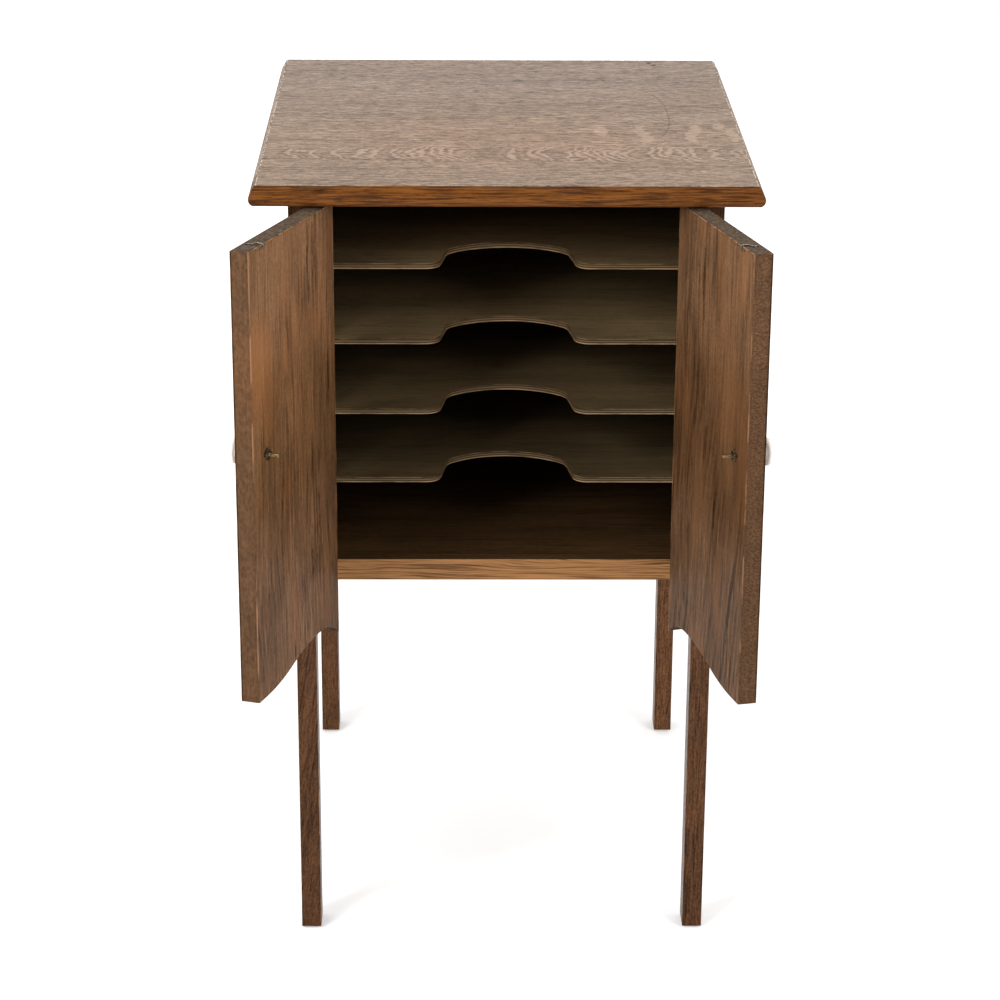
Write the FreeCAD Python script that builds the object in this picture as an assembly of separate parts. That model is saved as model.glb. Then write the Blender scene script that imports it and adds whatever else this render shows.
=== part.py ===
import FreeCAD, Part
import math
import os

# Oak record cabinet: a case on four full-height legs, record shelves with finger cut-outs, and two
# doors hung on butt hinges. Millimetres, +Z up, front towards -Y.
#
# Case coordinates: X = 0 midway between the sides, Y = 0 at the legs' front faces, Z = 0 on the
# floor. At the end all is moved so that the origin is the bottom centre of the bounding box with
# the doors standing open as stored.
#
# Door coordinates: the closed left door, with the hinge axis at the origin of X and Y. The right
# door is its mirror image.

Vector = FreeCAD.Vector
UP = Vector(0, 0, 1)
TO_BACK = Vector(0, 1, 0)
TO_RIGHT = Vector(1, 0, 0)

# ---- driving dimensions -----------------------------------------------------------------------

CASE_WIDTH = 457.0          # over the legs, 18 inches
CASE_DEPTH = 564.0          # front faces of the front legs to back faces of the rear legs
LEG_WIDTH = 22.0            # seven-eighths stock
LEG_DEPTH = 35.0
LEG_EASE = 1.2              # rounding of the legs' long edges

TOP_HEIGHT = 884.0          # floor to top surface
TOP_THICK = 22.0
TOP_WIDTH = 533.0           # 21 inches over the moulding
TOP_FRONT_OVERHANG = 45.0
TOP_BACK_OVERHANG = 3.0

GLIDE_HEIGHT = 2.5          # domed nail glide under each leg
GLIDE_RADIUS = 8.5
GLIDE_FLAT_RADIUS = 3.5
GLIDE_SHANK_RADIUS = 1.3
GLIDE_SHANK_LENGTH = 14.0

PANEL_THICK = 13.0          # side panels, inner faces flush with the legs'
PANEL_LOW = 412.0           # lower edge of the side panels
TONGUE_THICK = 6.0          # tongue of a side panel in the groove of a leg
TONGUE_SHOULDER = 3.5
TONGUE_LENGTH = 8.0
HOUSING_DEPTH = 3.5         # housings in the side panels for the shelves and bottom board

BOARD_SETBACK = 23.0        # front edges of shelves and bottom board behind the legs' front faces
BOTTOM_TOP = 445.5
BOTTOM_THICK = 24.0
SHELF_THICK = 6.0
CLEAR_HEIGHTS = (90.5, 72.5, 73.0, 77.5)    # spaces between boards, from the bottom board up

CUT_CENTRE = 2.5            # finger cut-out: the jig stood a little right of the middle
CUT_HALF_WIDTH = 74.0       # half width at the mouth
CUT_HALF_THROAT = 65.5      # half width where the sides meet the arch
CUT_SIDE_DEPTH = 56.0
CUT_DEPTH = 84.0            # front edge to crest
CUT_EAR_RADIUS = 16.0       # rounding of the shelf's front corners beside the cut-out
CUT_INNER_RADIUS = 24.0     # rounding between side and arch

BACK_THICK = 5.0
RABBET_WIDTH = 6.0          # rabbet for the back panel in the rear legs, across
RABBET_DEPTH = 6.0          # and in depth
BACK_NAIL_RADIUS = 0.8
BACK_NAIL_HEAD_RADIUS = 1.8
BACK_NAIL_LENGTH = 16.0
BACK_NAIL_ROWS = 4

CLEAT_SIZE = 20.0
CLEAT_FROM = 60.0           # front end of the cleats behind the legs' front faces
CLEAT_TO = 500.0
CLEAT_SCREW_LENGTH = 24.0
CLEAT_COUNTERBORE = 10.0    # screw heads lie this deep in the cleats

DOOR_THICK = 20.0
DOOR_RECESS = 2.5           # outer face behind the legs' front faces
DOOR_TOP_GAP = 3.0
DOOR_LOW = 375.5            # lower edge at both ends of the scallop
DOOR_MEETING_GAP = 1.0      # between the two doors at their outer faces
DOOR_BEVEL = 1.8            # the meeting edge falls back by this towards the inside
DOOR_EASE = 0.8
SCALLOP_CREST_AT = 50.0     # crest of the scallop from the hinge edge
SCALLOP_RISE = 19.0
SCALLOP_FLAT = 20.0         # flat stretch beside the meeting edge

LEFT_OPEN_ANGLE = 111.5     # stored pose of the doors, from closed
RIGHT_OPEN_ANGLE = 107.0

HINGE_HEIGHT = 50.0
HINGE_KNUCKLES = 3
KNUCKLE_RADIUS = 3.5
KNUCKLE_GAP = 0.3
PIN_RADIUS = 1.5
PIN_CLEARANCE = 0.05
PIN_HEAD_RADIUS = 2.6
PIN_HEAD_HEIGHT = 1.4
PIN_PROUD = 4.5             # pin axis in front of the legs' front faces
HINGE_GAP = 1.0             # between leg and door edge
LEAF_THICK = 1.2
LEAF_REACH = 20.0           # from the pin axis to the leaf's far edge
LEAF_START = 4.0            # leaf plate begins this far from the pin axis
UPPER_HINGE_AT = 800.0      # heights of the hinge centres
LOWER_HINGE_AT = 478.0

SCREW_HEAD_RADIUS = 3.0
SCREW_RADIUS = 1.5
SCREW_LENGTH = 14.0
SCREW_POINT = 3.0
SCREW_PITCH = 17.0          # between the screws of a hinge leaf
SCREW_FIT = 0.05            # clearance round every screw and nail

KNOB_FROM_EDGE = 32.0       # knob axis from the meeting edge
KNOB_HEIGHT = 640.0         # knob axis above the floor
KNOB_RADIUS = 14.6
KNOB_PROJECTION = 23.0
BOLT_RADIUS = 2.0
BOLT_CLEARANCE = 0.1
BOLT_PROUD = 14.5           # bolt end inside the door's inner face
NUT_SIZE = 9.5
NUT_THICK = 3.2
NUT_TURN = 33.0
COUNTERSINK_DEPTH = 1.9
COUNTERSINK_RADIUS = 3.9

CATCH_FROM_EDGE = 27.5      # leg of the wire catch from the meeting edge
CATCH_RADIUS = 0.8
CATCH_CRANK = 6.5           # the wire cranks this far towards the hinge
CATCH_INSET = 5.0           # leg behind the outer face
CATCH_LEG = 10.0
CATCH_LIFT = CATCH_RADIUS + 0.1     # wire axis above the top edge, and off the inner face
CATCH_DROP = 3.2                    # hook below the top edge
CATCH_BENDS = (1.2, 2.5, 2.5, 1.3, 1.2)
SPARE_HOLE_RADIUS = 2.2     # open hole in the top edge beside the wire
SPARE_HOLE_DEPTH = 6.0
SPARE_HOLE_FROM_LEG = 3.9
SPARE_HOLE_INSET = 8.0

# ---- values worked out from them --------------------------------------------------------------

HALF_CASE = CASE_WIDTH / 2
HALF_OPENING = HALF_CASE - LEG_WIDTH            # inner faces of legs and side panels
TOP_UNDERSIDE = TOP_HEIGHT - TOP_THICK
TOP_DEPTH = TOP_FRONT_OVERHANG + CASE_DEPTH + TOP_BACK_OVERHANG
REAR_LEG_FRONT = CASE_DEPTH - LEG_DEPTH
BACK_FACE = CASE_DEPTH - 1.0                    # outer face of the back panel
BACK_INNER = BACK_FACE - BACK_THICK
HOUSED_HALF = HALF_OPENING + HOUSING_DEPTH
CLEAT_HEAD_Z = TOP_UNDERSIDE - CLEAT_SIZE + CLEAT_COUNTERBORE
BOTTOM_LOW = BOTTOM_TOP - BOTTOM_THICK
PIN_X = -HALF_OPENING + HINGE_GAP / 2           # left hinge axis in case coordinates
PIN_Y = -PIN_PROUD
DOOR_EDGE = HINGE_GAP / 2                       # hinge edge of the door from the axis
DOOR_OUTER = PIN_PROUD + DOOR_RECESS            # outer face of the door from the axis
DOOR_INNER = DOOR_OUTER + DOOR_THICK
DOOR_FREE = -PIN_X - DOOR_MEETING_GAP / 2       # meeting edge of the door from the axis
DOOR_HIGH = TOP_UNDERSIDE - DOOR_TOP_GAP
CATCH_X = DOOR_FREE - CATCH_FROM_EDGE
CATCH_OUTER_Y = DOOR_OUTER + CATCH_INSET
HINGE_CENTRES = {"upper": UPPER_HINGE_AT, "lower": LOWER_HINGE_AT}


def shelf_levels():
    """Undersides of the shelves, lowest first."""
    levels = []
    z = BOTTOM_TOP
    for clear in CLEAR_HEIGHTS:
        z += clear
        levels.append(z)
        z += SHELF_THICK
    return levels


SHELF_LEVELS = shelf_levels()

# ---- helpers ----------------------------------------------------------------------------------


def block(x_range, y_range, z_range):
    x0, x1 = sorted(x_range)
    y0, y1 = sorted(y_range)
    z0, z1 = sorted(z_range)
    return Part.makeBox(x1 - x0, y1 - y0, z1 - z0, Vector(x0, y0, z0))


def rod(radius, length, base, direction):
    return Part.makeCylinder(radius, length, base, direction)


def line(a, b):
    return Part.LineSegment(a, b).toShape()


def arc(a, middle, b):
    return Part.Arc(a, middle, b).toShape()


def solid_from(edges, sweep):
    """Prism of the closed outline that the edges make."""
    return Part.Face(Part.Wire(edges)).extrude(sweep)


def outline(points, sweep):
    """Prism of a straight-sided outline."""
    edges = [line(a, b) for a, b in zip(points, points[1:] + points[:1])]
    return solid_from(edges, sweep)


def turned(profile, base, direction):
    """Solid of revolution. The profile is (radius, distance along the axis), from axis to axis."""
    points = [Vector(r, 0, h) for r, h in profile]
    face = Part.Face(Part.makePolygon(points + points[:1]))
    solid = face.revolve(Vector(0, 0, 0), UP, 360)
    solid.Placement = FreeCAD.Placement(base, FreeCAD.Rotation(UP, direction))
    return solid


def corners(radius, height, sides):
    """Corners of a regular polygon about the Z axis."""
    turns = [2 * math.pi * k / sides for k in range(sides)]
    return [Vector(radius * math.cos(turn), radius * math.sin(turn), height) for turn in turns]


def faceted(profile, base, direction, sides=8):
    """Many-sided solid for small fasteners. The profile is (radius, distance along the axis) of
    each ring of corners, and both ends are closed flat."""
    rings = [corners(r, h, sides) for r, h in profile]
    outlines = [rings[0], rings[-1]]
    for low, high in zip(rings, rings[1:]):
        for k in range(sides):
            after = (k + 1) % sides
            outlines.append([low[k], low[after], high[after], high[k]])
    faces = [Part.Face(Part.makePolygon(points + points[:1])) for points in outlines]
    solid = Part.makeSolid(Part.makeShell(faces))
    solid.Placement = FreeCAD.Placement(base, FreeCAD.Rotation(UP, direction))
    return solid if solid.Volume > 0 else solid.reversed()


def along_z(edge):
    """Whether an edge is straight and upright."""
    span = edge.BoundBox
    return span.XLength < 1e-6 and span.YLength < 1e-6


def eased(shape, radius, chosen):
    return shape.makeFillet(radius, [edge for edge in shape.Edges if chosen(edge)])


def group(solids):
    return Part.makeCompound(solids)


def mirrored(shape):
    return shape.mirror(Vector(0, 0, 0), TO_RIGHT)


# ---- top board --------------------------------------------------------------------------------

# The moulding, from the shoulder at the top surface down to the underside, as (distance inside the
# outermost line, height above the underside): a flattened ovolo, a quirk, and a bullnose.
SHOULDER = (7.5, TOP_THICK)
OVOLO_MIDDLE = (4.5, 18.8)
OVOLO_FOOT = (3.2, 14.8)
QUIRK_INNER = (3.2, 14.0)
QUIRK_OUTER = (2.2, 14.0)
BULLNOSE_MIDDLE = (0.0, 8.4)
BULLNOSE_FOOT = (4.4, 0.0)


def moulding(place):
    """Edges of the moulding. place turns (inset, height) into a point."""
    ovolo = arc(place(SHOULDER), place(OVOLO_MIDDLE), place(OVOLO_FOOT))
    drop = line(place(OVOLO_FOOT), place(QUIRK_INNER))
    step = line(place(QUIRK_INNER), place(QUIRK_OUTER))
    bullnose = arc(place(QUIRK_OUTER), place(BULLNOSE_MIDDLE), place(BULLNOSE_FOOT))
    return [ovolo, drop, step, bullnose]


def top_board():
    """The board is where a bar moulded on both sides crosses one moulded on the front."""
    half = TOP_WIDTH / 2
    front = -TOP_FRONT_OVERHANG
    back = front + TOP_DEPTH

    def on_left(point):
        return Vector(point[0] - half, front, TOP_UNDERSIDE + point[1])

    def on_right(point):
        return Vector(half - point[0], front, TOP_UNDERSIDE + point[1])

    def on_front(point):
        return Vector(-half, front + point[0], TOP_UNDERSIDE + point[1])

    across = moulding(on_left) + [line(on_left(BULLNOSE_FOOT), on_right(BULLNOSE_FOOT))]
    across += moulding(on_right) + [line(on_right(SHOULDER), on_left(SHOULDER))]
    bar = solid_from(Part.__sortEdges__(across), TO_BACK * TOP_DEPTH)

    low_back = Vector(-half, back, TOP_UNDERSIDE)
    high_back = Vector(-half, back, TOP_HEIGHT)
    deep = moulding(on_front) + [line(on_front(BULLNOSE_FOOT), low_back)]
    deep += [line(low_back, high_back), line(high_back, on_front(SHOULDER))]
    crossing = solid_from(Part.__sortEdges__(deep), TO_RIGHT * TOP_WIDTH)
    board = bar.common(crossing).Solids[0]

    holes = [screw_hole(Vector(side * x, y, CLEAT_HEAD_Z), UP, CLEAT_SCREW_LENGTH)
             for side in (-1, 1) for x, y in cleat_screw_spots()]
    return board.cut(group(holes))


# ---- legs and feet ----------------------------------------------------------------------------


def leg_centres():
    """Centre of each leg's foot by name."""
    x = HALF_CASE - LEG_WIDTH / 2
    y_front = LEG_DEPTH / 2
    y_rear = CASE_DEPTH - LEG_DEPTH / 2
    return {"front_left_leg": (-x, y_front), "front_right_leg": (x, y_front),
            "rear_left_leg": (-x, y_rear), "rear_right_leg": (x, y_rear)}


def tongue_range(side):
    """Across the case, where the tongues of a side panel lie."""
    inner = side * (HALF_OPENING + TONGUE_SHOULDER)
    return inner, inner + side * TONGUE_THICK


def leg(name, x, y):
    side = -1 if x < 0 else 1
    post = block((x - LEG_WIDTH / 2, x + LEG_WIDTH / 2), (y - LEG_DEPTH / 2, y + LEG_DEPTH / 2),
                 (GLIDE_HEIGHT, TOP_UNDERSIDE))
    post = eased(post, LEG_EASE, along_z)
    shank = GLIDE_SHANK_RADIUS + SCREW_FIT
    cuts = [faceted([(shank, 0), (shank, GLIDE_SHANK_LENGTH)], Vector(x, y, GLIDE_HEIGHT), UP, 16)]
    if name.startswith("front"):
        groove_y = (LEG_DEPTH - TONGUE_LENGTH, LEG_DEPTH)
        for z in HINGE_CENTRES.values():
            inner = side * HALF_OPENING
            cuts.append(block((inner, inner + side * LEAF_THICK), (0, LEAF_REACH - PIN_PROUD),
                              (z - HINGE_HEIGHT / 2, z + HINGE_HEIGHT / 2)))
            cuts += [screw_hole(spot, TO_RIGHT * side) for spot in leg_screw_spots(side, z)]
    else:
        groove_y = (REAR_LEG_FRONT, REAR_LEG_FRONT + TONGUE_LENGTH)
        inner = side * HALF_OPENING
        cuts.append(block((inner, inner + side * RABBET_WIDTH), (CASE_DEPTH - RABBET_DEPTH, CASE_DEPTH),
                          (BOTTOM_LOW, TOP_UNDERSIDE)))
        cuts += [nail_hole(spot) for spot in back_nail_spots() if spot.x * side > 0]
    cuts.append(block(tongue_range(side), groove_y, (PANEL_LOW, TOP_UNDERSIDE)))
    return post.cut(group(cuts))


def foot_glide(x, y):
    """Domed nail head with a small flat to stand on, and its shank in the leg."""
    shoulder = (GLIDE_RADIUS * 0.8, GLIDE_HEIGHT * 0.3)
    top = GLIDE_HEIGHT + GLIDE_SHANK_LENGTH
    shank = GLIDE_SHANK_RADIUS
    profile = [(GLIDE_FLAT_RADIUS, 0), shoulder, (GLIDE_RADIUS, GLIDE_HEIGHT), (shank, GLIDE_HEIGHT),
               (shank, top - SCREW_POINT), (shank / 4, top)]
    return faceted(profile, Vector(x, y, 0), UP, 16)


# ---- side panels, back, boards ----------------------------------------------------------------


def side_panel(side):
    inner = side * HALF_OPENING
    panel = block((inner, inner + side * PANEL_THICK), (LEG_DEPTH, REAR_LEG_FRONT),
                  (PANEL_LOW, TOP_UNDERSIDE))
    tongue = block(tongue_range(side), (LEG_DEPTH - TONGUE_LENGTH, REAR_LEG_FRONT + TONGUE_LENGTH),
                   (PANEL_LOW, TOP_UNDERSIDE))
    housings = [block((inner, inner + side * HOUSING_DEPTH), (LEG_DEPTH, REAR_LEG_FRONT), levels)
                for levels in board_levels()]
    return panel.fuse(tongue).removeSplitter().cut(group(housings))


def board_levels():
    """Lower and upper face of every board that is housed in the side panels."""
    shelves = [(z, z + SHELF_THICK) for z in SHELF_LEVELS]
    return [(BOTTOM_LOW, BOTTOM_TOP)] + shelves


def housed_board(z, thick):
    """Board between the legs at its ends, widened into the housings between them."""
    between_legs = block((-HALF_OPENING, HALF_OPENING), (BOARD_SETBACK, BACK_INNER), (z, z + thick))
    in_housings = block((-HOUSED_HALF, HOUSED_HALF), (LEG_DEPTH, REAR_LEG_FRONT), (z, z + thick))
    return between_legs.fuse(in_housings).removeSplitter()


def bottom_board():
    holes = [nail_hole(spot) for spot in back_nail_spots() if spot.z < BOTTOM_TOP]
    return housed_board(BOTTOM_LOW, BOTTOM_THICK).cut(group(holes))


def finger_cut(z):
    """Cutter for the cut-out in a shelf: straight sides leaning in, and a shallow arch."""
    front = BOARD_SETBACK
    throat = front + CUT_SIDE_DEPTH
    crest = front + CUT_DEPTH
    mouth_left = Vector(CUT_CENTRE - CUT_HALF_WIDTH, front, z)
    mouth_right = Vector(CUT_CENTRE + CUT_HALF_WIDTH, front, z)
    throat_left = Vector(CUT_CENTRE - CUT_HALF_THROAT, throat, z)
    throat_right = Vector(CUT_CENTRE + CUT_HALF_THROAT, throat, z)
    edges = [line(mouth_left, throat_left),
             arc(throat_left, Vector(CUT_CENTRE, crest, z), throat_right),
             line(throat_right, mouth_right), line(mouth_right, mouth_left)]
    cutter = solid_from(edges, UP * SHELF_THICK)
    return eased(cutter, CUT_INNER_RADIUS,
                 lambda edge: along_z(edge) and abs(edge.BoundBox.YMin - throat) < 1)


def record_shelf(z):
    shelf = housed_board(z, SHELF_THICK).cut(finger_cut(z))
    return eased(shelf, CUT_EAR_RADIUS,
                 lambda edge: along_z(edge) and abs(edge.BoundBox.YMin - BOARD_SETBACK) < 1e-3
                 and abs(edge.BoundBox.XMin - CUT_CENTRE) < CUT_HALF_WIDTH + 1)


def back_nail_spots():
    """Nail heads on the back panel: a row into each rear leg, and a row into the bottom board."""
    x = HALF_OPENING + RABBET_WIDTH / 2
    low, high = BOTTOM_TOP + 30, TOP_UNDERSIDE - 30
    spots = []
    for i in range(BACK_NAIL_ROWS):
        z = low + (high - low) * i / (BACK_NAIL_ROWS - 1)
        spots += [Vector(side * x, BACK_FACE, z) for side in (-1, 1)]
    z = BOTTOM_LOW + BOTTOM_THICK / 2
    return spots + [Vector(x, BACK_FACE, z) for x in (-150, -50, 50, 150)]


def back_panel():
    half = HALF_OPENING + RABBET_WIDTH - 0.3
    panel = block((-half, half), (BACK_INNER, BACK_FACE), (BOTTOM_LOW, TOP_UNDERSIDE))
    return panel.cut(group([nail_hole(spot) for spot in back_nail_spots()]))


def back_nail(spot):
    head = [(BACK_NAIL_HEAD_RADIUS * 0.6, 0.6), (BACK_NAIL_HEAD_RADIUS, 0)]
    tip = -BACK_NAIL_LENGTH
    shank = [(BACK_NAIL_RADIUS, 0), (BACK_NAIL_RADIUS, tip + 2), (BACK_NAIL_RADIUS / 4, tip + 0.3)]
    return faceted(head + shank, spot, TO_BACK)


def nail_hole(spot):
    radius = BACK_NAIL_RADIUS + SCREW_FIT
    return faceted([(radius, 0), (radius, -BACK_NAIL_LENGTH)], spot, TO_BACK)


# ---- cleats under the top ---------------------------------------------------------------------


def cleat_screw_spots():
    """Screws up into the top, as (x, y) on the right side."""
    x = HALF_OPENING - CLEAT_SIZE / 2
    return [(x, y) for y in (100.0, 280.0, 460.0)]


def cleat_screws():
    """Countersunk screws of both cleats, up into the top."""
    return [wood_screw(Vector(side * x, y, CLEAT_HEAD_Z), UP, CLEAT_SCREW_LENGTH)
            for side in (-1, 1) for x, y in cleat_screw_spots()]


def top_cleat(side):
    inner = side * HALF_OPENING
    cleat = block((inner - side * CLEAT_SIZE, inner), (CLEAT_FROM, CLEAT_TO),
                  (TOP_UNDERSIDE - CLEAT_SIZE, TOP_UNDERSIDE))
    bore = SCREW_HEAD_RADIUS + 0.6
    cuts = []
    for x, y in cleat_screw_spots():
        spot = Vector(side * x, y, CLEAT_HEAD_Z)
        cuts.append(screw_hole(spot, UP, CLEAT_SCREW_LENGTH))
        cuts.append(faceted([(bore, 0), (bore, CLEAT_COUNTERBORE)], spot, -UP))
    return cleat.cut(group(cuts))


# ---- screws -----------------------------------------------------------------------------------


def wood_screw(spot, direction, length=SCREW_LENGTH, grow=0.0):
    """Countersunk screw with its head's face at spot, driven along direction."""
    head = SCREW_HEAD_RADIUS + grow
    shank = SCREW_RADIUS + grow
    neck = SCREW_HEAD_RADIUS - SCREW_RADIUS
    profile = [(head, 0), (shank, neck), (shank, length - SCREW_POINT), (shank / 4, length + grow)]
    return faceted(profile, spot, direction)


def screw_hole(spot, direction, length=SCREW_LENGTH):
    return wood_screw(spot, direction, length, SCREW_FIT)


# ---- butt hinges ------------------------------------------------------------------------------

# A leaf is modelled for the left side with the pin axis at the origin and its plate running to the
# back. The leg's leaf lies on the -X side of the gap and has the odd knuckles, and the door's leaf
# lies on the +X side and has the even ones.


def leaf_plate_range(sign):
    inner = sign * HINGE_GAP / 2
    return inner, inner + sign * LEAF_THICK


def leaf_screw_offsets():
    """Screws of one leaf, as (distance behind the axis, height from the hinge's centre)."""
    return [(14.5, -SCREW_PITCH), (11.5, 0.0), (14.5, SCREW_PITCH)]


def hinge_leaf(sign, knuckles, centre_z):
    low = centre_z - HINGE_HEIGHT / 2
    pitch = HINGE_HEIGHT / HINGE_KNUCKLES
    plate = block(leaf_plate_range(sign), (LEAF_START, LEAF_REACH), (low, low + HINGE_HEIGHT))
    solids = []
    for i in knuckles:
        z0 = low + i * pitch + (KNUCKLE_GAP / 2 if i > 0 else 0)
        z1 = low + (i + 1) * pitch - (KNUCKLE_GAP / 2 if i < HINGE_KNUCKLES - 1 else 0)
        solids.append(rod(KNUCKLE_RADIUS, z1 - z0, Vector(0, 0, z0), UP))
        solids.append(block(leaf_plate_range(sign), (PIN_RADIUS, LEAF_START), (z0, z1)))
    leaf = plate.fuse(solids).removeSplitter()
    bore = rod(PIN_RADIUS + PIN_CLEARANCE, HINGE_HEIGHT, Vector(0, 0, low), UP)
    face = sign * HINGE_GAP / 2
    holes = [screw_hole(Vector(face, y, centre_z + z), TO_RIGHT * sign)
             for y, z in leaf_screw_offsets()]
    return leaf.cut(group([bore] + holes))


def leg_leaf(centre_z):
    return hinge_leaf(-1, range(0, HINGE_KNUCKLES, 2), centre_z)


def door_leaf(centre_z):
    return hinge_leaf(1, range(1, HINGE_KNUCKLES, 2), centre_z)


def hinge_pin(centre_z):
    """Loose pin with a flat head that rests on the top knuckle."""
    low = centre_z - HINGE_HEIGHT / 2
    top = centre_z + HINGE_HEIGHT / 2
    shank = rod(PIN_RADIUS, HINGE_HEIGHT, Vector(0, 0, low), UP)
    head = rod(PIN_HEAD_RADIUS, PIN_HEAD_HEIGHT, Vector(0, 0, top), UP)
    return shank.fuse(head).removeSplitter()


def leg_screw_spots(side, centre_z):
    """Screw heads of a leg's leaf, in case coordinates."""
    return [Vector(side * (HALF_OPENING), PIN_Y + y, centre_z + z) for y, z in leaf_screw_offsets()]


def leg_leaf_screws():
    """Screws of both leaves on the left leg, with the pin axis at the origin."""
    return [wood_screw(Vector(-HINGE_GAP / 2, y, centre + z), -TO_RIGHT)
            for centre in HINGE_CENTRES.values() for y, z in leaf_screw_offsets()]


def door_leaf_screws():
    return [wood_screw(Vector(DOOR_EDGE, y, centre + z), TO_RIGHT)
            for centre in HINGE_CENTRES.values() for y, z in leaf_screw_offsets()]


# ---- doors ------------------------------------------------------------------------------------


def scallop():
    """Lower edge of a door from hinge edge to meeting edge: an arc up to and over the crest, then
    an ogee of two equal arcs down to a flat."""
    y = DOOR_OUTER
    rise = SCALLOP_RISE
    crest = Vector(DOOR_EDGE + SCALLOP_CREST_AT, y, DOOR_LOW + rise)
    start = Vector(DOOR_EDGE, y, DOOR_LOW)
    first_radius = (SCALLOP_CREST_AT ** 2 + rise ** 2) / (2 * rise)
    half_turn = math.asin(SCALLOP_CREST_AT / first_radius) / 2
    first_middle = crest + Vector(-first_radius * math.sin(half_turn), 0,
                                  -first_radius * (1 - math.cos(half_turn)))

    foot = Vector(DOOR_FREE - SCALLOP_FLAT, y, DOOR_LOW)
    run = foot.x - crest.x
    radius = (run ** 2 + rise ** 2) / (4 * rise)
    turn = math.asin(run / 2 / radius) / 2
    across = radius * math.sin(turn)
    drop = radius * (1 - math.cos(turn))
    joint = (crest + foot) * 0.5
    return [arc(start, first_middle, crest),
            arc(crest, crest + Vector(across, 0, -drop), joint),
            arc(joint, foot + Vector(-across, 0, drop), foot),
            line(foot, Vector(DOOR_FREE, y, DOOR_LOW))]


def door_board():
    top_hinge = Vector(DOOR_EDGE, DOOR_OUTER, DOOR_HIGH)
    top_free = Vector(DOOR_FREE, DOOR_OUTER, DOOR_HIGH)
    low_free = Vector(DOOR_FREE, DOOR_OUTER, DOOR_LOW)
    low_hinge = Vector(DOOR_EDGE, DOOR_OUTER, DOOR_LOW)
    edges = scallop() + [line(low_free, top_free), line(top_free, top_hinge), line(top_hinge, low_hinge)]
    board = solid_from(edges, TO_BACK * DOOR_THICK)

    bevel = [Vector(DOOR_FREE, DOOR_OUTER, 0), Vector(DOOR_FREE + 5, DOOR_OUTER, 0),
             Vector(DOOR_FREE + 5, DOOR_INNER, 0), Vector(DOOR_FREE - DOOR_BEVEL, DOOR_INNER, 0)]
    board = board.cut(outline(bevel, UP * TOP_HEIGHT))
    board = eased(board, DOOR_EASE, on_door_face)

    cuts = [rod(BOLT_RADIUS + BOLT_CLEARANCE, DOOR_THICK, knob_spot(), TO_BACK),
            rod(CATCH_RADIUS + SCREW_FIT, CATCH_LEG, Vector(CATCH_X, CATCH_OUTER_Y, DOOR_HIGH), -UP),
            rod(SPARE_HOLE_RADIUS, SPARE_HOLE_DEPTH,
                Vector(CATCH_X - SPARE_HOLE_FROM_LEG, DOOR_OUTER + SPARE_HOLE_INSET, DOOR_HIGH), -UP)]
    for z in HINGE_CENTRES.values():
        cuts.append(block((DOOR_EDGE, DOOR_EDGE + LEAF_THICK), (DOOR_OUTER, LEAF_REACH),
                          (z - HINGE_HEIGHT / 2, z + HINGE_HEIGHT / 2)))
        cuts += [screw_hole(Vector(DOOR_EDGE, y, z + dz), TO_RIGHT) for y, dz in leaf_screw_offsets()]
    return board.cut(group(cuts))


def on_door_face(edge):
    """Whether a straight edge bounds the outer or the inner face, away from the hinge and the scallop."""
    span = edge.BoundBox
    flat = span.YLength < 1e-6
    on_face = abs(span.YMin - DOOR_OUTER) < 1e-6 or abs(span.YMin - DOOR_INNER) < 1e-6
    at_hinge = span.XMax < DOOR_EDGE + 1e-3
    on_scallop = span.ZMax < DOOR_LOW + SCALLOP_RISE + 1
    return flat and on_face and not at_hinge and not on_scallop


def knob_spot():
    """Knob axis on the door's outer face."""
    return Vector(DOOR_FREE - KNOB_FROM_EDGE, DOOR_OUTER, KNOB_HEIGHT)


def knob():
    """Porcelain mushroom knob, hollow for its bolt, with a countersink for the bolt's head."""
    hole = BOLT_RADIUS + BOLT_CLEARANCE
    foot = [(hole, 0), (8.8, 0), (8.4, 1.6), (6.5, 5.2), (7.2, 8.4)]
    cap = [(12.6, 11.2), (KNOB_RADIUS, 13.4), (KNOB_RADIUS, 15.6), (13.0, 18.8), (9.6, 21.6)]
    front = KNOB_PROJECTION
    countersink = [(5.2, front), (COUNTERSINK_RADIUS, front), (hole, front - COUNTERSINK_DEPTH)]
    return turned(foot + cap + countersink, knob_spot(), -TO_BACK)


def knob_bolt():
    """Round-headed bolt through knob and door, its end proud of the inner face."""
    front = KNOB_PROJECTION
    end = -(DOOR_THICK + BOLT_PROUD)
    shank = [(0, end), (BOLT_RADIUS, end), (BOLT_RADIUS, front - COUNTERSINK_DEPTH)]
    head = [(COUNTERSINK_RADIUS - BOLT_CLEARANCE, front), (2.4, front + 0.7), (0, front + 0.7)]
    return turned(shank + head, knob_spot(), -TO_BACK)


def knob_nut():
    """Square nut against the inner face, a corner towards the meeting edge."""
    half = NUT_SIZE / 2
    nut = block((-half, half), (0, NUT_THICK), (-half, half))
    nut = nut.cut(rod(BOLT_RADIUS + SCREW_FIT, NUT_THICK, Vector(0, 0, 0), TO_BACK))
    nut.rotate(Vector(0, 0, 0), TO_BACK, NUT_TURN)
    spot = knob_spot()
    nut.translate(Vector(spot.x, DOOR_INNER, spot.z))
    return nut


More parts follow.
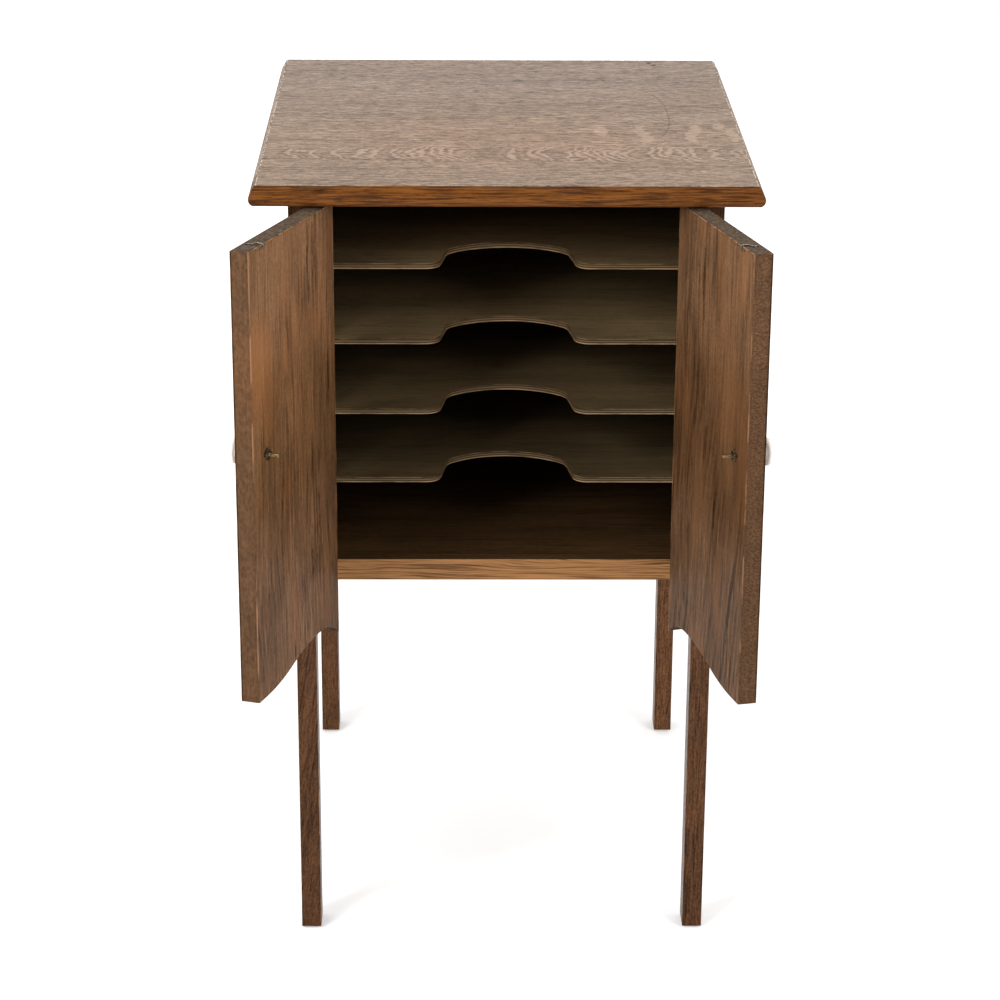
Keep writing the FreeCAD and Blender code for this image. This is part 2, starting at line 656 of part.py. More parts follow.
def catch_wire():
    """Bent spring wire that lies across the top edge: a leg in a hole near the outer face, a crank
    towards the hinge, and a hook over the inner arris that ends towards the meeting edge."""
    over = DOOR_HIGH + CATCH_LIFT
    off_face = DOOR_INNER + CATCH_LIFT
    inner_x = CATCH_X - CATCH_CRANK
    path = [Vector(CATCH_X, CATCH_OUTER_Y, DOOR_HIGH - CATCH_LEG + 1),
            Vector(CATCH_X, CATCH_OUTER_Y, over),
            Vector(CATCH_X + 0.5, DOOR_OUTER + DOOR_THICK * 0.55, over),
            Vector(inner_x, DOOR_OUTER + DOOR_THICK * 0.7, over),
            Vector(inner_x, off_face, over),
            Vector(inner_x + 0.5, off_face, DOOR_HIGH - CATCH_DROP),
            Vector(CATCH_X + 2.0, off_face, DOOR_HIGH - CATCH_DROP + 0.6)]
    return bent_wire(path, CATCH_RADIUS, CATCH_BENDS)


def bent_wire(path, radius, bend_radii):
    """Six-sided wire along straight runs joined by tangent arcs."""
    edges = []
    start = path[0]
    for before, corner, after, bend in zip(path, path[1:], path[2:], bend_radii):
        into = (corner - before).normalize()
        out = (after - corner).normalize()
        half_turn = into.getAngle(out) / 2
        setback = bend * math.tan(half_turn)
        a = corner - into * setback
        b = corner + out * setback
        towards = (out - into).normalize()
        middle = corner + towards * (bend / math.cos(half_turn) - bend)
        edges += [line(start, a), arc(a, middle, b)]
        start = b
    edges.append(line(start, path[-1]))
    spine = Part.Wire(edges)
    ring = Part.makePolygon(corners(radius, 0, 6) + corners(radius, 0, 1))
    ring.Placement = FreeCAD.Placement(path[0], FreeCAD.Rotation(UP, path[1] - path[0]))
    return spine.makePipeShell([ring], True, True)


# ---- assembly ---------------------------------------------------------------------------------


def case_nodes():
    nodes = {"top_board": top_board()}
    for name, (x, y) in leg_centres().items():
        nodes[name] = leg(name, x, y)
    nodes["foot_glides"] = group([foot_glide(x, y) for x, y in leg_centres().values()])
    nodes["bottom_board"] = bottom_board()
    for number, z in enumerate(reversed(SHELF_LEVELS), start=1):
        nodes["record_shelf_%d" % number] = record_shelf(z)
    nodes["back_panel"] = back_panel()
    nodes["back_panel_nails"] = group([back_nail(spot) for spot in back_nail_spots()])
    nodes["cleat_screws"] = group(cleat_screws())
    for side, hand in ((-1, "left"), (1, "right")):
        nodes[hand + "_side_panel"] = side_panel(side)
        nodes[hand + "_top_cleat"] = top_cleat(side)
    return nodes


def to_hinge(shape, hand):
    """From pin-axis coordinates of the left side to case coordinates of either side."""
    placed = shape.copy()
    placed.translate(Vector(PIN_X, PIN_Y, 0))
    return placed if hand == "left" else mirrored(placed)


def opened(shape, hand):
    """Swings a closed door's piece to the stored pose."""
    side, angle = (-1, -LEFT_OPEN_ANGLE) if hand == "left" else (1, RIGHT_OPEN_ANGLE)
    shape.rotate(Vector(-side * PIN_X, PIN_Y, 0), UP, angle)
    return shape


def hinge_nodes(hand):
    """Leaves, pins and screws that stay on the leg."""
    nodes = {}
    for level, z in HINGE_CENTRES.items():
        nodes["%s_%s_hinge_leg_leaf" % (hand, level)] = to_hinge(leg_leaf(z), hand)
        nodes["%s_%s_hinge_pin" % (hand, level)] = to_hinge(hinge_pin(z), hand)
    nodes[hand + "_leg_hinge_screws"] = to_hinge(group(leg_leaf_screws()), hand)
    return nodes


def door_nodes(hand):
    pieces = {"door_board": door_board(), "door_knob": knob(), "knob_bolt": knob_bolt(),
              "knob_nut": knob_nut(), "catch_wire": catch_wire(),
              "door_hinge_screws": group(door_leaf_screws())}
    for level, z in HINGE_CENTRES.items():
        pieces[level + "_hinge_door_leaf"] = door_leaf(z)
    return {hand + "_" + name: opened(to_hinge(shape, hand), hand) for name, shape in pieces.items()}


def main():
    nodes = case_nodes()
    for hand in ("left", "right"):
        nodes.update(hinge_nodes(hand))
        nodes.update(door_nodes(hand))

    box = FreeCAD.BoundBox()
    for shape in nodes.values():
        box.add(shape.optimalBoundingBox(False))
    to_row = Vector(-box.Center.x, -box.Center.y, -box.ZMin)
    os.makedirs("parts", exist_ok=True)
    for name, shape in nodes.items():
        shape.translate(to_row)
        shape.exportStep("parts/%s.step" % name)
        print("%-28s solids %2d  volume %10.1f  valid %s"
              % (name, len(shape.Solids), shape.Volume, shape.isValid()))
    print("case origin in the row frame: %.4f %.4f %.4f" % (to_row.x, to_row.y, to_row.z))
    print("size %.1f x %.1f x %.1f mm" % (box.XLength, box.YLength, box.ZLength))


main()
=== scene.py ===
import math

import bmesh
import bpy
from mathutils import Matrix, Vector


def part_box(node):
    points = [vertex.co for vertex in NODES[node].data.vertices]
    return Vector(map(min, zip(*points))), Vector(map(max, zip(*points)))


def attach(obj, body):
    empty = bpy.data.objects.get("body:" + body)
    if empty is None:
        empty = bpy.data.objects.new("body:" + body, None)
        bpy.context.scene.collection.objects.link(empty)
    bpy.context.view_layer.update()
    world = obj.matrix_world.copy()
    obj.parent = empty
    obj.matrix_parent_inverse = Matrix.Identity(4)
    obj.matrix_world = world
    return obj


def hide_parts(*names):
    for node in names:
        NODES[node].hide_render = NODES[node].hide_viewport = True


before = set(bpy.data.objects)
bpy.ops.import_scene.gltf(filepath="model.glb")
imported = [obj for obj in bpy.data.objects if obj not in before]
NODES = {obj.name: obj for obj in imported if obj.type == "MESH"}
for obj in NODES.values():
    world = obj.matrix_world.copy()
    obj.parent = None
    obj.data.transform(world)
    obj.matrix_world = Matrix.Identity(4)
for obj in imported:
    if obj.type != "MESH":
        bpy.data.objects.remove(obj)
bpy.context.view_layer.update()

# Oak record cabinet. Lengths here are millimetres and become metres where an object is made.
# Case coordinates: X = 0 midway between the sides, Y = 0 at the legs' front faces, Z = 0 the floor.
# Door coordinates: the closed left door with its pin axis at X = Y = 0; the right door mirrors it.

CASE_ORIGIN = Vector((6.5714, -179.9699, 0.0))  # origin of the case coordinates in the row frame
SIDES = {"left": -1, "right": 1}
PIN_X, PIN_Y = 206.0, -4.5
OPEN_ANGLE = {"left": -111.5, "right": 107.0}  # degrees from closed, as the doors are stored
DOOR_EDGE, DOOR_FREE = 0.5, 205.5  # hinge edge and meeting edge
DOOR_OUTER, DOOR_INNER = 7.0, 27.0  # faces
DOOR_LOW, DOOR_HIGH = 375.5, 859.0
DOOR_BOX = ((DOOR_EDGE, DOOR_OUTER, DOOR_LOW), (DOOR_FREE, DOOR_INNER, DOOR_HIGH))
EDGE_FALL = 0.09  # how much the meeting edge falls back per millimetre of depth
HINGE_CENTRES = {"upper": 800.0, "lower": 478.0}
HINGE_HEIGHT = 50.0
KNOB_X, KNOB_Z = DOOR_FREE - 32.0, 640.0

CASE_TO_ROW = Matrix.Scale(0.001, 4) @ Matrix.Translation(CASE_ORIGIN)


def door_to_row(hand, degrees):
    """Door coordinates to the row frame, with the door turned by degrees from closed."""
    side = SIDES[hand]
    swing = Matrix.Rotation(math.radians(degrees), 4, "Z")
    mirror = Matrix.Scale(-side, 4, (1, 0, 0))
    return CASE_TO_ROW @ Matrix.Translation((side * PIN_X, PIN_Y, 0)) @ swing @ mirror


# ---- node networks ----------------------------------------------------------------------------


class Socket:
    """An output of a node, with arithmetic that adds Math nodes."""

    def __init__(self, net, socket):
        self.net, self.socket = net, socket

    def __add__(self, other):
        return self.net.math("ADD", self, other)

    def __sub__(self, other):
        return self.net.math("SUBTRACT", self, other)

    def __rsub__(self, other):
        return self.net.math("SUBTRACT", other, self)

    def __mul__(self, other):
        return self.net.math("MULTIPLY", self, other)

    def __truediv__(self, other):
        return self.net.math("DIVIDE", self, other)

    def __abs__(self):
        return self.net.math("ABSOLUTE", self)

    __radd__ = __add__


class Net:
    """The node tree of a material or of the world, under construction."""

    def __init__(self, owner):
        self.owner = owner
        owner.use_nodes = True
        self.nodes, self.links = owner.node_tree.nodes, owner.node_tree.links
        self.nodes.clear()

    def feed(self, socket, value):
        """Link a socket to another's output, or set its value."""
        if isinstance(value, Socket):
            self.links.new(value.socket, socket)
        elif socket.type == "RGBA":
            socket.default_value = (*value, 1.0)
        else:
            socket.default_value = value

    def node(self, kind, output, inputs, **settings):
        made = self.nodes.new("ShaderNode" + kind)
        for key, value in settings.items():
            setattr(made, key, value)
        for key, value in inputs.items():
            self.feed(made.inputs[key], value)
        return Socket(self, made.outputs[output])

    def math(self, operation, a, b=0.0):
        return self.node("Math", 0, {0: a, 1: b}, operation=operation)

    def least(self, a, b):
        return self.math("MINIMUM", a, b)

    def most(self, a, b):
        return self.math("MAXIMUM", a, b)

    def unit(self, value):
        """A value kept between 0 and 1."""
        return self.least(self.most(value, 0.0), 1.0)

    def ramp(self, value, low, high, start=0.0, end=1.0):
        """start below low, end above high, and smooth between."""
        inputs = {"Value": value, "From Min": low, "From Max": high, "To Min": start, "To Max": end}
        return self.node("MapRange", 0, inputs, interpolation_type="SMOOTHSTEP")

    def step(self, value, low, high):
        """0 below low, 1 above high, and smooth between; falls instead of rising where high < low."""
        if high < low:
            return 1.0 - self.ramp(value, high, low)
        return self.ramp(value, low, high)

    def lot(self, value):
        """A random number between 0 and 1 for each whole part of a value."""
        whole = self.math("FLOOR", value)
        return self.node("TexWhiteNoise", 0, {"W": whole}, noise_dimensions="1D")

    def scaled(self, vector, factors):
        return self.node("VectorMath", 0, {0: vector, 1: factors}, operation="MULTIPLY")

    def shifted(self, vector, offset):
        return self.node("VectorMath", 0, {0: vector, 1: offset}, operation="ADD")

    def split(self, vector):
        parts = self.nodes.new("ShaderNodeSeparateXYZ")
        self.feed(parts.inputs[0], vector)
        return [Socket(self, output) for output in parts.outputs]

    def joined(self, x, y, z):
        return self.node("CombineXYZ", 0, {0: x, 1: y, 2: z})

    def length(self, x, y):
        return self.math("SQRT", x * x + y * y)

    def place(self):
        """The point of the surface in the row frame, in metres."""
        return self.node("TexCoord", "Object", {})

    def upright(self):
        """How far the surface faces up: 1 on top, 0 on a wall, -1 underneath."""
        return self.split(self.node("NewGeometry", "Normal", {}))[2]

    def noise(self, vector, sizes, detail=2.0, roughness=0.5):
        """Noise between 0 and 1 whose features are sizes long along the three axes."""
        stretched = self.scaled(vector, [1.0 / size for size in sizes])
        inputs = {"Vector": stretched, "Scale": 1.0, "Detail": detail, "Roughness": roughness}
        return self.node("TexNoise", 0, inputs)

    def mixed(self, factor, a, b):
        """Colour a at factor 0, b at 1."""
        return self.node("Mix", 2, {0: factor, 6: a, 7: b}, data_type="RGBA")

    def multiplied(self, factor, colour, tint):
        """A colour at factor 0, and multiplied by a tint at 1."""
        inputs = {0: factor, 6: colour, 7: tint}
        return self.node("Mix", 2, inputs, data_type="RGBA", blend_type="MULTIPLY")

    def tinted(self, colour, factor):
        """A colour made darker or lighter by a number."""
        return self.node("VectorMath", 0, {0: colour, 3: factor}, operation="SCALE")

    def finish(self, base, roughness, height=None, bump=0.0, **others):
        """The material, with a Principled shader; others are further inputs of the shader."""
        shader = self.nodes.new("ShaderNodeBsdfPrincipled")
        self.feed(shader.inputs["Base Color"], base)
        self.feed(shader.inputs["Roughness"], roughness)
        for key, value in others.items():
            self.feed(shader.inputs[key.replace("_", " ")], value)
        if height is not None:
            inputs = {"Height": height, "Distance": 0.001, "Strength": bump}
            self.feed(shader.inputs["Normal"], self.node("Bump", 0, inputs))
        output = self.nodes.new("ShaderNodeOutputMaterial")
        self.links.new(shader.outputs[0], output.inputs[0])
        return self.owner


def material_net(name):
    return Net(bpy.data.materials.new(name))


# ---- wood -------------------------------------------------------------------------------------

SLANT_BELOW = 400.0  # grain that slants does so below this place along it


class Board:
    """Board coordinates of a node network: along the grain, across the face, through the board."""

    def __init__(self, net, order, seed, hand=None, slant=0.0):
        self.net = net
        place = net.place()
        mirror = 1
        if hand:
            hinge = door_to_row(hand, 0.0).translation
            inputs = {"Vector": place, "Center": hinge, "Angle": -math.radians(OPEN_ANGLE[hand])}
            place = net.node("VectorRotate", 0, inputs, rotation_type="Z_AXIS")
            place = net.shifted(place, -hinge)
            mirror = -SIDES[hand]
        else:
            place = net.shifted(place, -CASE_ORIGIN * 0.001)
        xyz = net.split(net.scaled(place, (1000.0 * mirror, 1000.0, 1000.0)))
        self.order = ["xyz".index(letter) for letter in order]
        self.axes = [xyz[i] for i in self.order]
        self.along, self.across, self.through = self.axes
        across = self.across
        if slant:
            across = across - net.least(self.along - SLANT_BELOW, 0.0) * slant
        moved = net.joined(self.along, across, self.through)
        self.seeded = net.shifted(moved, (seed * 517.3, seed * 131.7, seed * 89.1))

    def noise(self, sizes, **settings):
        return self.net.noise(self.seeded, sizes, **settings)

    def arris(self, box):
        """Distance to the nearest arris of the board's box."""
        least, most = self.net.least, self.net.most
        low, high = box
        x, y, z = [least(axis - low[i], high[i] - axis) for i, axis in zip(self.order, self.axes)]
        return most(least(x, y), least(most(x, y), z))


def oak(name, order, seed, box, light, dark, hand=None, pith=(0.0, -60.0), ring=5.0, lean=0.0,
        slant=0.0, warp=6.0, ragged=0.6, streak=(120.0, 2.4), contrast=0.6, fine=1.4, blotch=0.4,
        pores=0.35, cloud=0.10, fleck=0.5, roughness=0.30, gloss=0.06, worn=0.5, worn_width=0.9,
        worn_colour=(0.30, 0.15, 0.07), bump=0.3, extra=None):
    """Stained oak. order says which axes run along the grain, across the face and through the board.

    The year rings, each ring wide, lie round a pith line (across, through) that leans; warp bends
    them, and streaks (length, width) break them up into ragged flames of the given contrast. fine is
    the strength of the fibres, blotch that of broad patches, fleck that of specks, and cloud that of
    the cloudy stain. worn rubs the arrises of the box. extra may change colour, roughness and height.
    """
    net = material_net(name)
    board = Board(net, order, seed, hand, slant)
    bend = (board.noise((240.0, 60.0, 60.0)) - 0.5) * (warp * 4.0)
    dashes = board.noise((streak[0], streak[1], streak[1]), detail=3.0, roughness=0.55)
    from_pith = net.length(board.across - pith[0], board.through - pith[1])
    rings = (from_pith + bend + board.along * lean) / ring + (dashes - 0.5) * (ragged * 3.0)
    phase = net.math("FRACT", rings)
    early = net.step(phase, 0.0, 0.22) * net.step(phase, 0.80, 0.34)
    strength = net.lot(rings) * 0.7 + 0.3

    fibre = board.noise((50.0, 1.6, 1.6), detail=3.0, roughness=0.65)
    pore = net.step(board.noise((14.0, 1.2, 1.2)), 0.50, 0.62) * (early * 0.6 + 0.4)
    lines = net.step(board.noise((80.0, 2.1, 2.1), detail=2.0), 0.56, 0.66)
    patchy = board.noise((200.0, 26.0, 26.0), detail=2.0)
    flames = early * strength * net.step(patchy, 0.36, 0.62) * contrast
    depth = flames + lines * (0.2 * fine) + (1.0 - dashes - fibre) * fine + (patchy - 0.5) * blotch + 0.16
    colour = net.mixed(net.unit(depth), light, dark)
    stain = net.step(board.noise((150.0, 55.0, 55.0)), 0.34, 0.66)
    grit = board.noise((3.0, 1.9, 1.9), detail=2.0, roughness=0.6)
    colour = net.tinted(colour, 1.0 + cloud - stain * (cloud * 2.0) - pore * pores + (grit - 0.5) * fleck)

    height = (1.0 - pore) * 0.6 + fibre * 0.3 - early * 0.15
    rough = (fibre - 0.5) * 0.2 + pore * 0.15 + roughness
    if extra:
        colour, rough, height = extra(net, board, colour, rough, height)
    if worn:
        reach = board.noise((30.0, 9.0, 9.0), detail=3.0, roughness=0.65)
        gap = board.arris(box)
        rubbed = net.step(gap - (reach - 0.5) * (2.4 * worn_width), worn_width, 0.15 * worn_width)
        colour = net.tinted(colour, 1.0 - net.step(gap, 5.0, 0.0) * 0.14)
        colour = net.mixed(rubbed * net.step(reach, 0.42, 0.58) * worn, colour, worn_colour)
    return net.finish(colour, rough, height, bump, Specular_IOR_Level=gloss)


def case_box(node):
    """Box of a CAD node in case coordinates."""
    return [[c * 1000.0 - o for c, o in zip(corner, CASE_ORIGIN)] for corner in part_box(node)]


def toned(tone, *colours):
    """The colours made darker or lighter."""
    return [[channel * tone for channel in colour] for colour in colours]


def spot(net, x, y, cx, cy, rx, ry, soft=0.35):
    """1 inside an ellipse, fading at its border."""
    return net.step(net.length((x - cx) / rx, (y - cy) / ry), 1.0 + soft, 1.0 - soft)


# ---- figure of the top ------------------------------------------------------------------------

FACE_HALF, FACE_BACK = 259.5, 566.2  # borders of the top's flat face
HOOKS_Y = 104.0  # middle of the band of hooked grain
# patches of ray: centre, half sizes, and how far the patch bends into an S
RAYS = ((107, 200, 7, 24, 0), (90, 210, 14, 5, 0), (153, 186, 7, 44, 4),
        (208, 190, 7, 46, -5), (239, 224, 7, 14, 0), (251, 184, 6, 32, 3))
RAY_COLOUR, SCRATCH_COLOUR = (0.43, 0.32, 0.235), (0.45, 0.36, 0.28)
EDGE_LIGHT, EDGE_DARK = (0.150, 0.049, 0.0065), (0.036, 0.010, 0.0015)
# the pale dot colour is a painted highlight; the dark one is wear
DOT_HIGHLIGHT, DOT_DARK = (0.72, 0.60, 0.47), (0.13, 0.07, 0.035)
# the pale shoulder colour is a painted reflection of the white surroundings; the dark one is stain
SHOULDER_REFLECTION, SHOULDER_DARK = (0.50, 0.40, 0.31), (0.14, 0.085, 0.05)


def top_hooks(net, board, x, y):
    """Nested hooks of pale grain that open to the right, and the shade between them."""
    centre = (board.noise((160.0, 400.0, 50.0), detail=1.0) - 0.5) * 16.0 + HOOKS_Y
    off = y - centre + (board.noise((30.0, 30.0, 10.0)) - 0.5) * 34.0
    arm = net.most(off / 16.0, off / -24.0)
    wander = (board.noise((40.0, 26.0, 10.0), detail=1.0) - 0.5) * 34.0
    ragged = (board.noise((9.0, 5.0, 5.0), detail=2.0) - 0.5) * 13.0
    hooks = (x - arm * arm * 8.5 + wander + ragged) / 11.5
    phase = net.math("FRACT", hooks)
    band = net.step(abs(arm), 2.2, 1.1) * net.step(x, -262.0, -225.0)
    thick = phase + net.most(abs(arm) - 0.4, 0.0) * 0.16
    pale = net.step(phase, 0.0, 0.08) * net.step(thick, 0.62, 0.42) * net.step(net.lot(hooks), 0.05, 0.45)
    shade = net.step(phase, 0.40, 0.60) * net.step(phase, 1.0, 0.72)
    return pale * band, shade * band


def top_rays(net, board, x, y):
    """Broad pale patches of ray at the right, with streaky borders."""
    px = x + (board.noise((9.0, 6.0, 10.0)) - 0.5) * 12.0
    py = y + (board.noise((12.0, 12.0, 10.0)) - 0.5) * 10.0
    patches = 0.0
    for cx, cy, rx, ry, bend in RAYS:
        sway = net.math("SINE", (py - cy) * (3.4 / ry)) * bend
        patches = net.most(patches, spot(net, px + sway, py, cx, cy, rx, ry, 0.18))
    return patches * (net.step(board.noise((14.0, 4.5, 5.0)), 0.34, 0.46) * 0.75 + 0.25)


def top_marks(net, x, y):
    """A thin ring mark that shows at the right and back, two dents at the back edge and a bruise."""
    dx, dy = abs((x - 113.0) / 73.0), abs((y - 280.0) / 150.0)
    reach = net.math("POWER", dx, 2.5) + net.math("POWER", dy, 2.5)
    ring = net.step(abs(reach - 1.0), 0.055, 0.015) * net.step(x, 118.0, 150.0) * net.step(y, 158.0, 185.0)
    dents = net.most(spot(net, x, y, 180.5, 552.0, 3.0, 4.0), spot(net, x, y, 185.5, 540.0, 3.4, 3.6))
    bruise = spot(net, x, y, -148.0, 412.0, 4.5, 6.0)
    return net.most(net.most(ring * 0.26, dents * 0.8), bruise * 0.25)


def top_face(net, board, colour, upper):
    """Colour of the upper face, and the depth of its marks."""
    x, y = board.along, board.across
    dash = board.noise((17.0, 3.2, 3.2), detail=4.0, roughness=0.70)
    dark = net.step(board.noise((30.0, 3.6, 3.6), detail=3.0), 0.55, 0.61)
    flecks = board.noise((5.0, 2.8, 2.8), detail=3.0, roughness=0.65)
    colour = net.tinted(colour, (dash - 0.5) * 2.7 + (flecks - 0.5) * 1.7 + 1.04 - dark * 0.16)
    lines = net.step(board.noise((36.0, 5.5, 5.5), detail=2.0), 0.57, 0.64)
    lines = lines * (net.step(y, 60.0, 120.0) * net.step(y, 330.0, 200.0) * 0.8 + 0.2)
    pale, shade = top_hooks(net, board, x, y)
    light = net.most(net.most(pale * 0.9, lines * 0.75), top_rays(net, board, x, y) * 0.85)
    colour = net.mixed(light * upper * 0.60, colour, RAY_COLOUR)
    marks = top_marks(net, x, y) * upper
    colour = net.tinted(colour, 1.0 - shade * upper * 0.16 - marks)
    scratch = spot(net, x + (y - 160.0) * 0.02, y, -155.0, 158.0, 0.9, 52.0)
    colour = net.mixed(scratch * upper * 0.12, colour, SCRATCH_COLOUR)
    # painted sheen: the gloss is painted as a greyer tint towards the back; the upper face is also warmer
    # in the middle of the front
    colour = net.multiplied(net.step(y, 180.0, 480.0) * upper, colour, (1.03, 1.08, 1.17))
    warm = spot(net, x, y, 0.0, 150.0, 170.0, 110.0, 0.8)
    return net.multiplied(warm * 0.5, colour, (1.08, 0.97, 0.93)), marks


def top_moulding(net, board):
    """Long streaks, dark spots that gather at the left end, and a dark line under the shoulder."""
    x, z = board.along, board.through
    grain = board.noise((44.0, 2.0, 2.0), detail=4.0, roughness=0.7)
    short = board.noise((16.0, 1.6, 1.6), detail=2.0)
    spots = net.step(short, 0.55, 0.68) * (net.step(x, -90.0, -230.0) * 0.5 + 0.14)
    line = net.step(z, 881.4, 882.8) * net.step(board.noise((90.0, 30.0, 30.0)), 0.36, 0.56) * 0.55
    rich = net.mixed(net.step(grain, 0.37, 0.60), EDGE_DARK, EDGE_LIGHT)
    return net.tinted(rich, 1.0 - spots - line)


def top_figure(net, board, colour, rough, height):
    """Figure and marks of the upper face, and the redder, glossier moulded edge."""
    x, y, z = board.axes
    upper = net.step(z, 883.4, 883.9)
    edge = 1.0 - net.step(z, 882.8, 883.7)
    colour, marks = top_face(net, board, colour, upper)
    colour = net.mixed(edge * 0.96, colour, top_moulding(net, board))
    # dots along the side and back arrises: the dark ones rubbed wear, the pale ones a painted highlight of
    # the worn arris
    dots = net.step(board.noise((3.0, 7.0, 5.0), detail=2.0), 0.46, 0.54)
    rim = net.step(net.least(FACE_HALF - abs(x), FACE_BACK - y), 1.6, 0.4) * upper
    colour = net.mixed(rim * 0.8, colour, net.mixed(dots, DOT_DARK, DOT_HIGHLIGHT))
    # painted reflection: the upward faces of the side mouldings' shoulders are painted pale, as they mirror
    # the white surroundings at a grazing angle, with specks of the old stain
    specks = net.step(board.noise((4.0, 9.0, 4.0), detail=3.0), 0.40, 0.52)
    pale_reflection = net.mixed(specks, SHOULDER_DARK, SHOULDER_REFLECTION)
    beside = net.step(abs(x), FACE_HALF + 0.1, FACE_HALF + 1.1) * net.step(y, 4.0, 14.0)
    colour = net.mixed(beside * net.step(net.upright(), 0.3, 0.6) * 0.6, colour, pale_reflection)
    return colour, rough - edge * 0.14, height - marks * 0.8


# ---- figure of the bottom board and the shelves -----------------------------------------------

GOLD_LIGHT, GOLD_DARK = (0.300, 0.145, 0.056), (0.050, 0.020, 0.007)
# PLY_LIGHT serves both worn ply and painted highlights along the rims
PLY_LIGHT, PLY_DARK = (0.26, 0.170, 0.088), (0.034, 0.020, 0.009)


def bottom_figure(net, board, colour, rough, height):
    """Golden unfinished front edge with long dark lines; the faces keep the dark stain."""
    x, y, z = board.axes
    tilt = z + x * 0.012 + (board.noise((150.0, 40.0, 12.0), detail=2.0) - 0.5) * 14.0
    tilted = net.joined(x, 0.0, tilt)
    lines = net.noise(tilted, (150.0, 10.0, 2.2), detail=3.0, roughness=0.62)
    short = net.noise(tilted, (30.0, 10.0, 1.3), detail=2.0)
    depth = net.step(lines, 0.56, 0.36) * 0.85 + (short - 0.5) * 0.7
    gold = net.mixed(net.unit(depth), GOLD_LIGHT, GOLD_DARK)
    gold = net.tinted(gold, 1.0 - net.step(z, 423.4, 421.6) * 0.55)
    return net.mixed(net.step(y, 24.2, 23.4), colour, gold), rough, height


def shelf_figure(low):
    """Three plies at the cut edges, the outer two lighter in patches: worn ply, with painted highlights
    along the rims. low is the shelf's underside.
    """

    def figure(net, board, colour, rough, height):
        z = board.through - low
        side = net.step(abs(net.upright()), 0.75, 0.35)
        wear_and_glint = board.noise((22.0, 22.0, 1.2), detail=3.0, roughness=0.6)
        # the lighter outer plies are partly worn ply and partly painted highlight along the rims
        lower = net.step(z, 1.5, 0.9) * (net.step(wear_and_glint, 0.36, 0.56) * 0.7 + 0.3)
        upper = net.step(z, 5.0, 5.5) * net.step(wear_and_glint, 0.40, 0.60) * 0.55
        middle = net.step(abs(z - 3.2), 0.9, 0.4) * 0.35
        edge = net.mixed(net.most(net.most(lower, upper), middle), PLY_DARK, PLY_LIGHT)
        return net.mixed(side, colour, edge), rough, height

    return figure


# ---- figure of the doors ----------------------------------------------------------------------

# What differs between the doors. lines: their spacing, the height below which they spread, and the
# slope by which they do; combed: whether they run straight and unbroken low down; calm: how much
# plainer the wood is high up at the meeting edge; tongues: added strength at the hinge edge, and how
# that changes low down; broad: strength of broad bands; hinge_shade: how much the painted shade
# darkens the hinge side; low_down: how much lighter; middle: tint at mid height; saw: size and
# strength of the saw marks on the meeting edge; rubbed: how far its inner arris is rubbed.
DOOR_LOOKS = {
    "left": {
        "tone": 0.84, "pith": (88.0, -26.0), "lean": 0.05, "lines": (8.0, 500.0, -0.10), "combed": False,
        "calm": 0.75, "tongues": (0.5, 0.0), "broad": 0.2, "ruddy": (0.215, 0.088, 0.033),
        "ruddy_spot": (188.0, 738.0, 30.0, 46.0, 0.6), "hinge_shade": 0.28, "low_down": -0.02,
        "middle": (0.90, 0.85, 0.74), "saw": ((5.0, 3.0, 3.0), 0.8), "rubbed": 0.5},
    "right": {
        "tone": 0.61, "pith": (70.0, -30.0), "lean": -0.045, "lines": (10.5, 680.0, -0.17), "combed": True,
        "calm": 0.4, "tongues": (0.6, -1.0), "broad": 0.5, "ruddy": (0.160, 0.070, 0.028),
        "ruddy_spot": None, "hinge_shade": 0.14, "low_down": 0.10,
        "middle": (0.86, 0.80, 0.70), "saw": ((1.3, 2.4, 2.4), 1.5), "rubbed": 0.4},
}
MEETING_COLOUR, MEETING_RUBBED = (0.114, 0.060, 0.031), (0.40, 0.21, 0.11)
END_LIGHT, END_DARK = (0.125, 0.090, 0.062), (0.045, 0.030, 0.019)


def door_lines(net, board, look, low_down):
    """Tint of a door's fine lines, dark tongues, pale streaks and flecks."""
    z, x, y = board.axes
    spacing, spread_below, slope = look["lines"]
    combed = net.step(x, 70.0, 115.0) * net.step(z, 660.0, 570.0) if look["combed"] else 0.0
    bend = (board.noise((170.0, 45.0, 45.0), detail=1.0) - 0.5) * 26.0
    jag = (board.noise((44.0, 4.5, 4.5), detail=4.0, roughness=0.6) - 0.5) * (combed * -5.0 + 9.0)
    rings = (x + bend + jag + net.least(z - spread_below, 0.0) * slope) / spacing
    broken = net.step(board.noise((90.0, 10.0, 10.0), detail=2.0), 0.40, 0.54)
    lines = net.step(abs(net.math("FRACT", rings) - 0.5), 0.36, 0.22) * (net.lot(rings) * 0.7 + 0.3)
    lines = lines * net.most(broken, combed) * (combed * 0.35 + 1.0)

    tongue = net.step(board.noise((75.0, 10.0, 10.0), detail=3.0, roughness=0.6), 0.55, 0.585)
    by_hinge, by_hinge_low = look["tongues"]
    tongue = tongue * (net.step(x, 105.0, 60.0) * (low_down * by_hinge_low + by_hinge) + 0.7)
    clear = net.step(board.noise((130.0, 60.0, 60.0), detail=1.0), 0.42, 0.58)
    calm = net.step(x, 110.0, 160.0) * net.step(z, 540.0, 660.0) * look["calm"]
    shade = (lines * 0.46 + tongue * 0.28) * (clear * 0.65 + 0.35) * (1.0 - calm)

    pale = net.step(board.noise((48.0, 5.0, 5.0), detail=3.0, roughness=0.6), 0.56, 0.60)
    streaks = pale * (low_down * 0.22 + 0.14) * (1.0 - calm * 0.6)
    broad = (board.noise((260.0, 24.0, 24.0), detail=1.0) - 0.5) * look["broad"]
    flecks = (board.noise((3.5, 5.0, 5.0), detail=2.0, roughness=0.6) - 0.5) * 0.55
    return 1.02 - shade * (low_down * 0.35 + 1.0) + streaks + broad + flecks


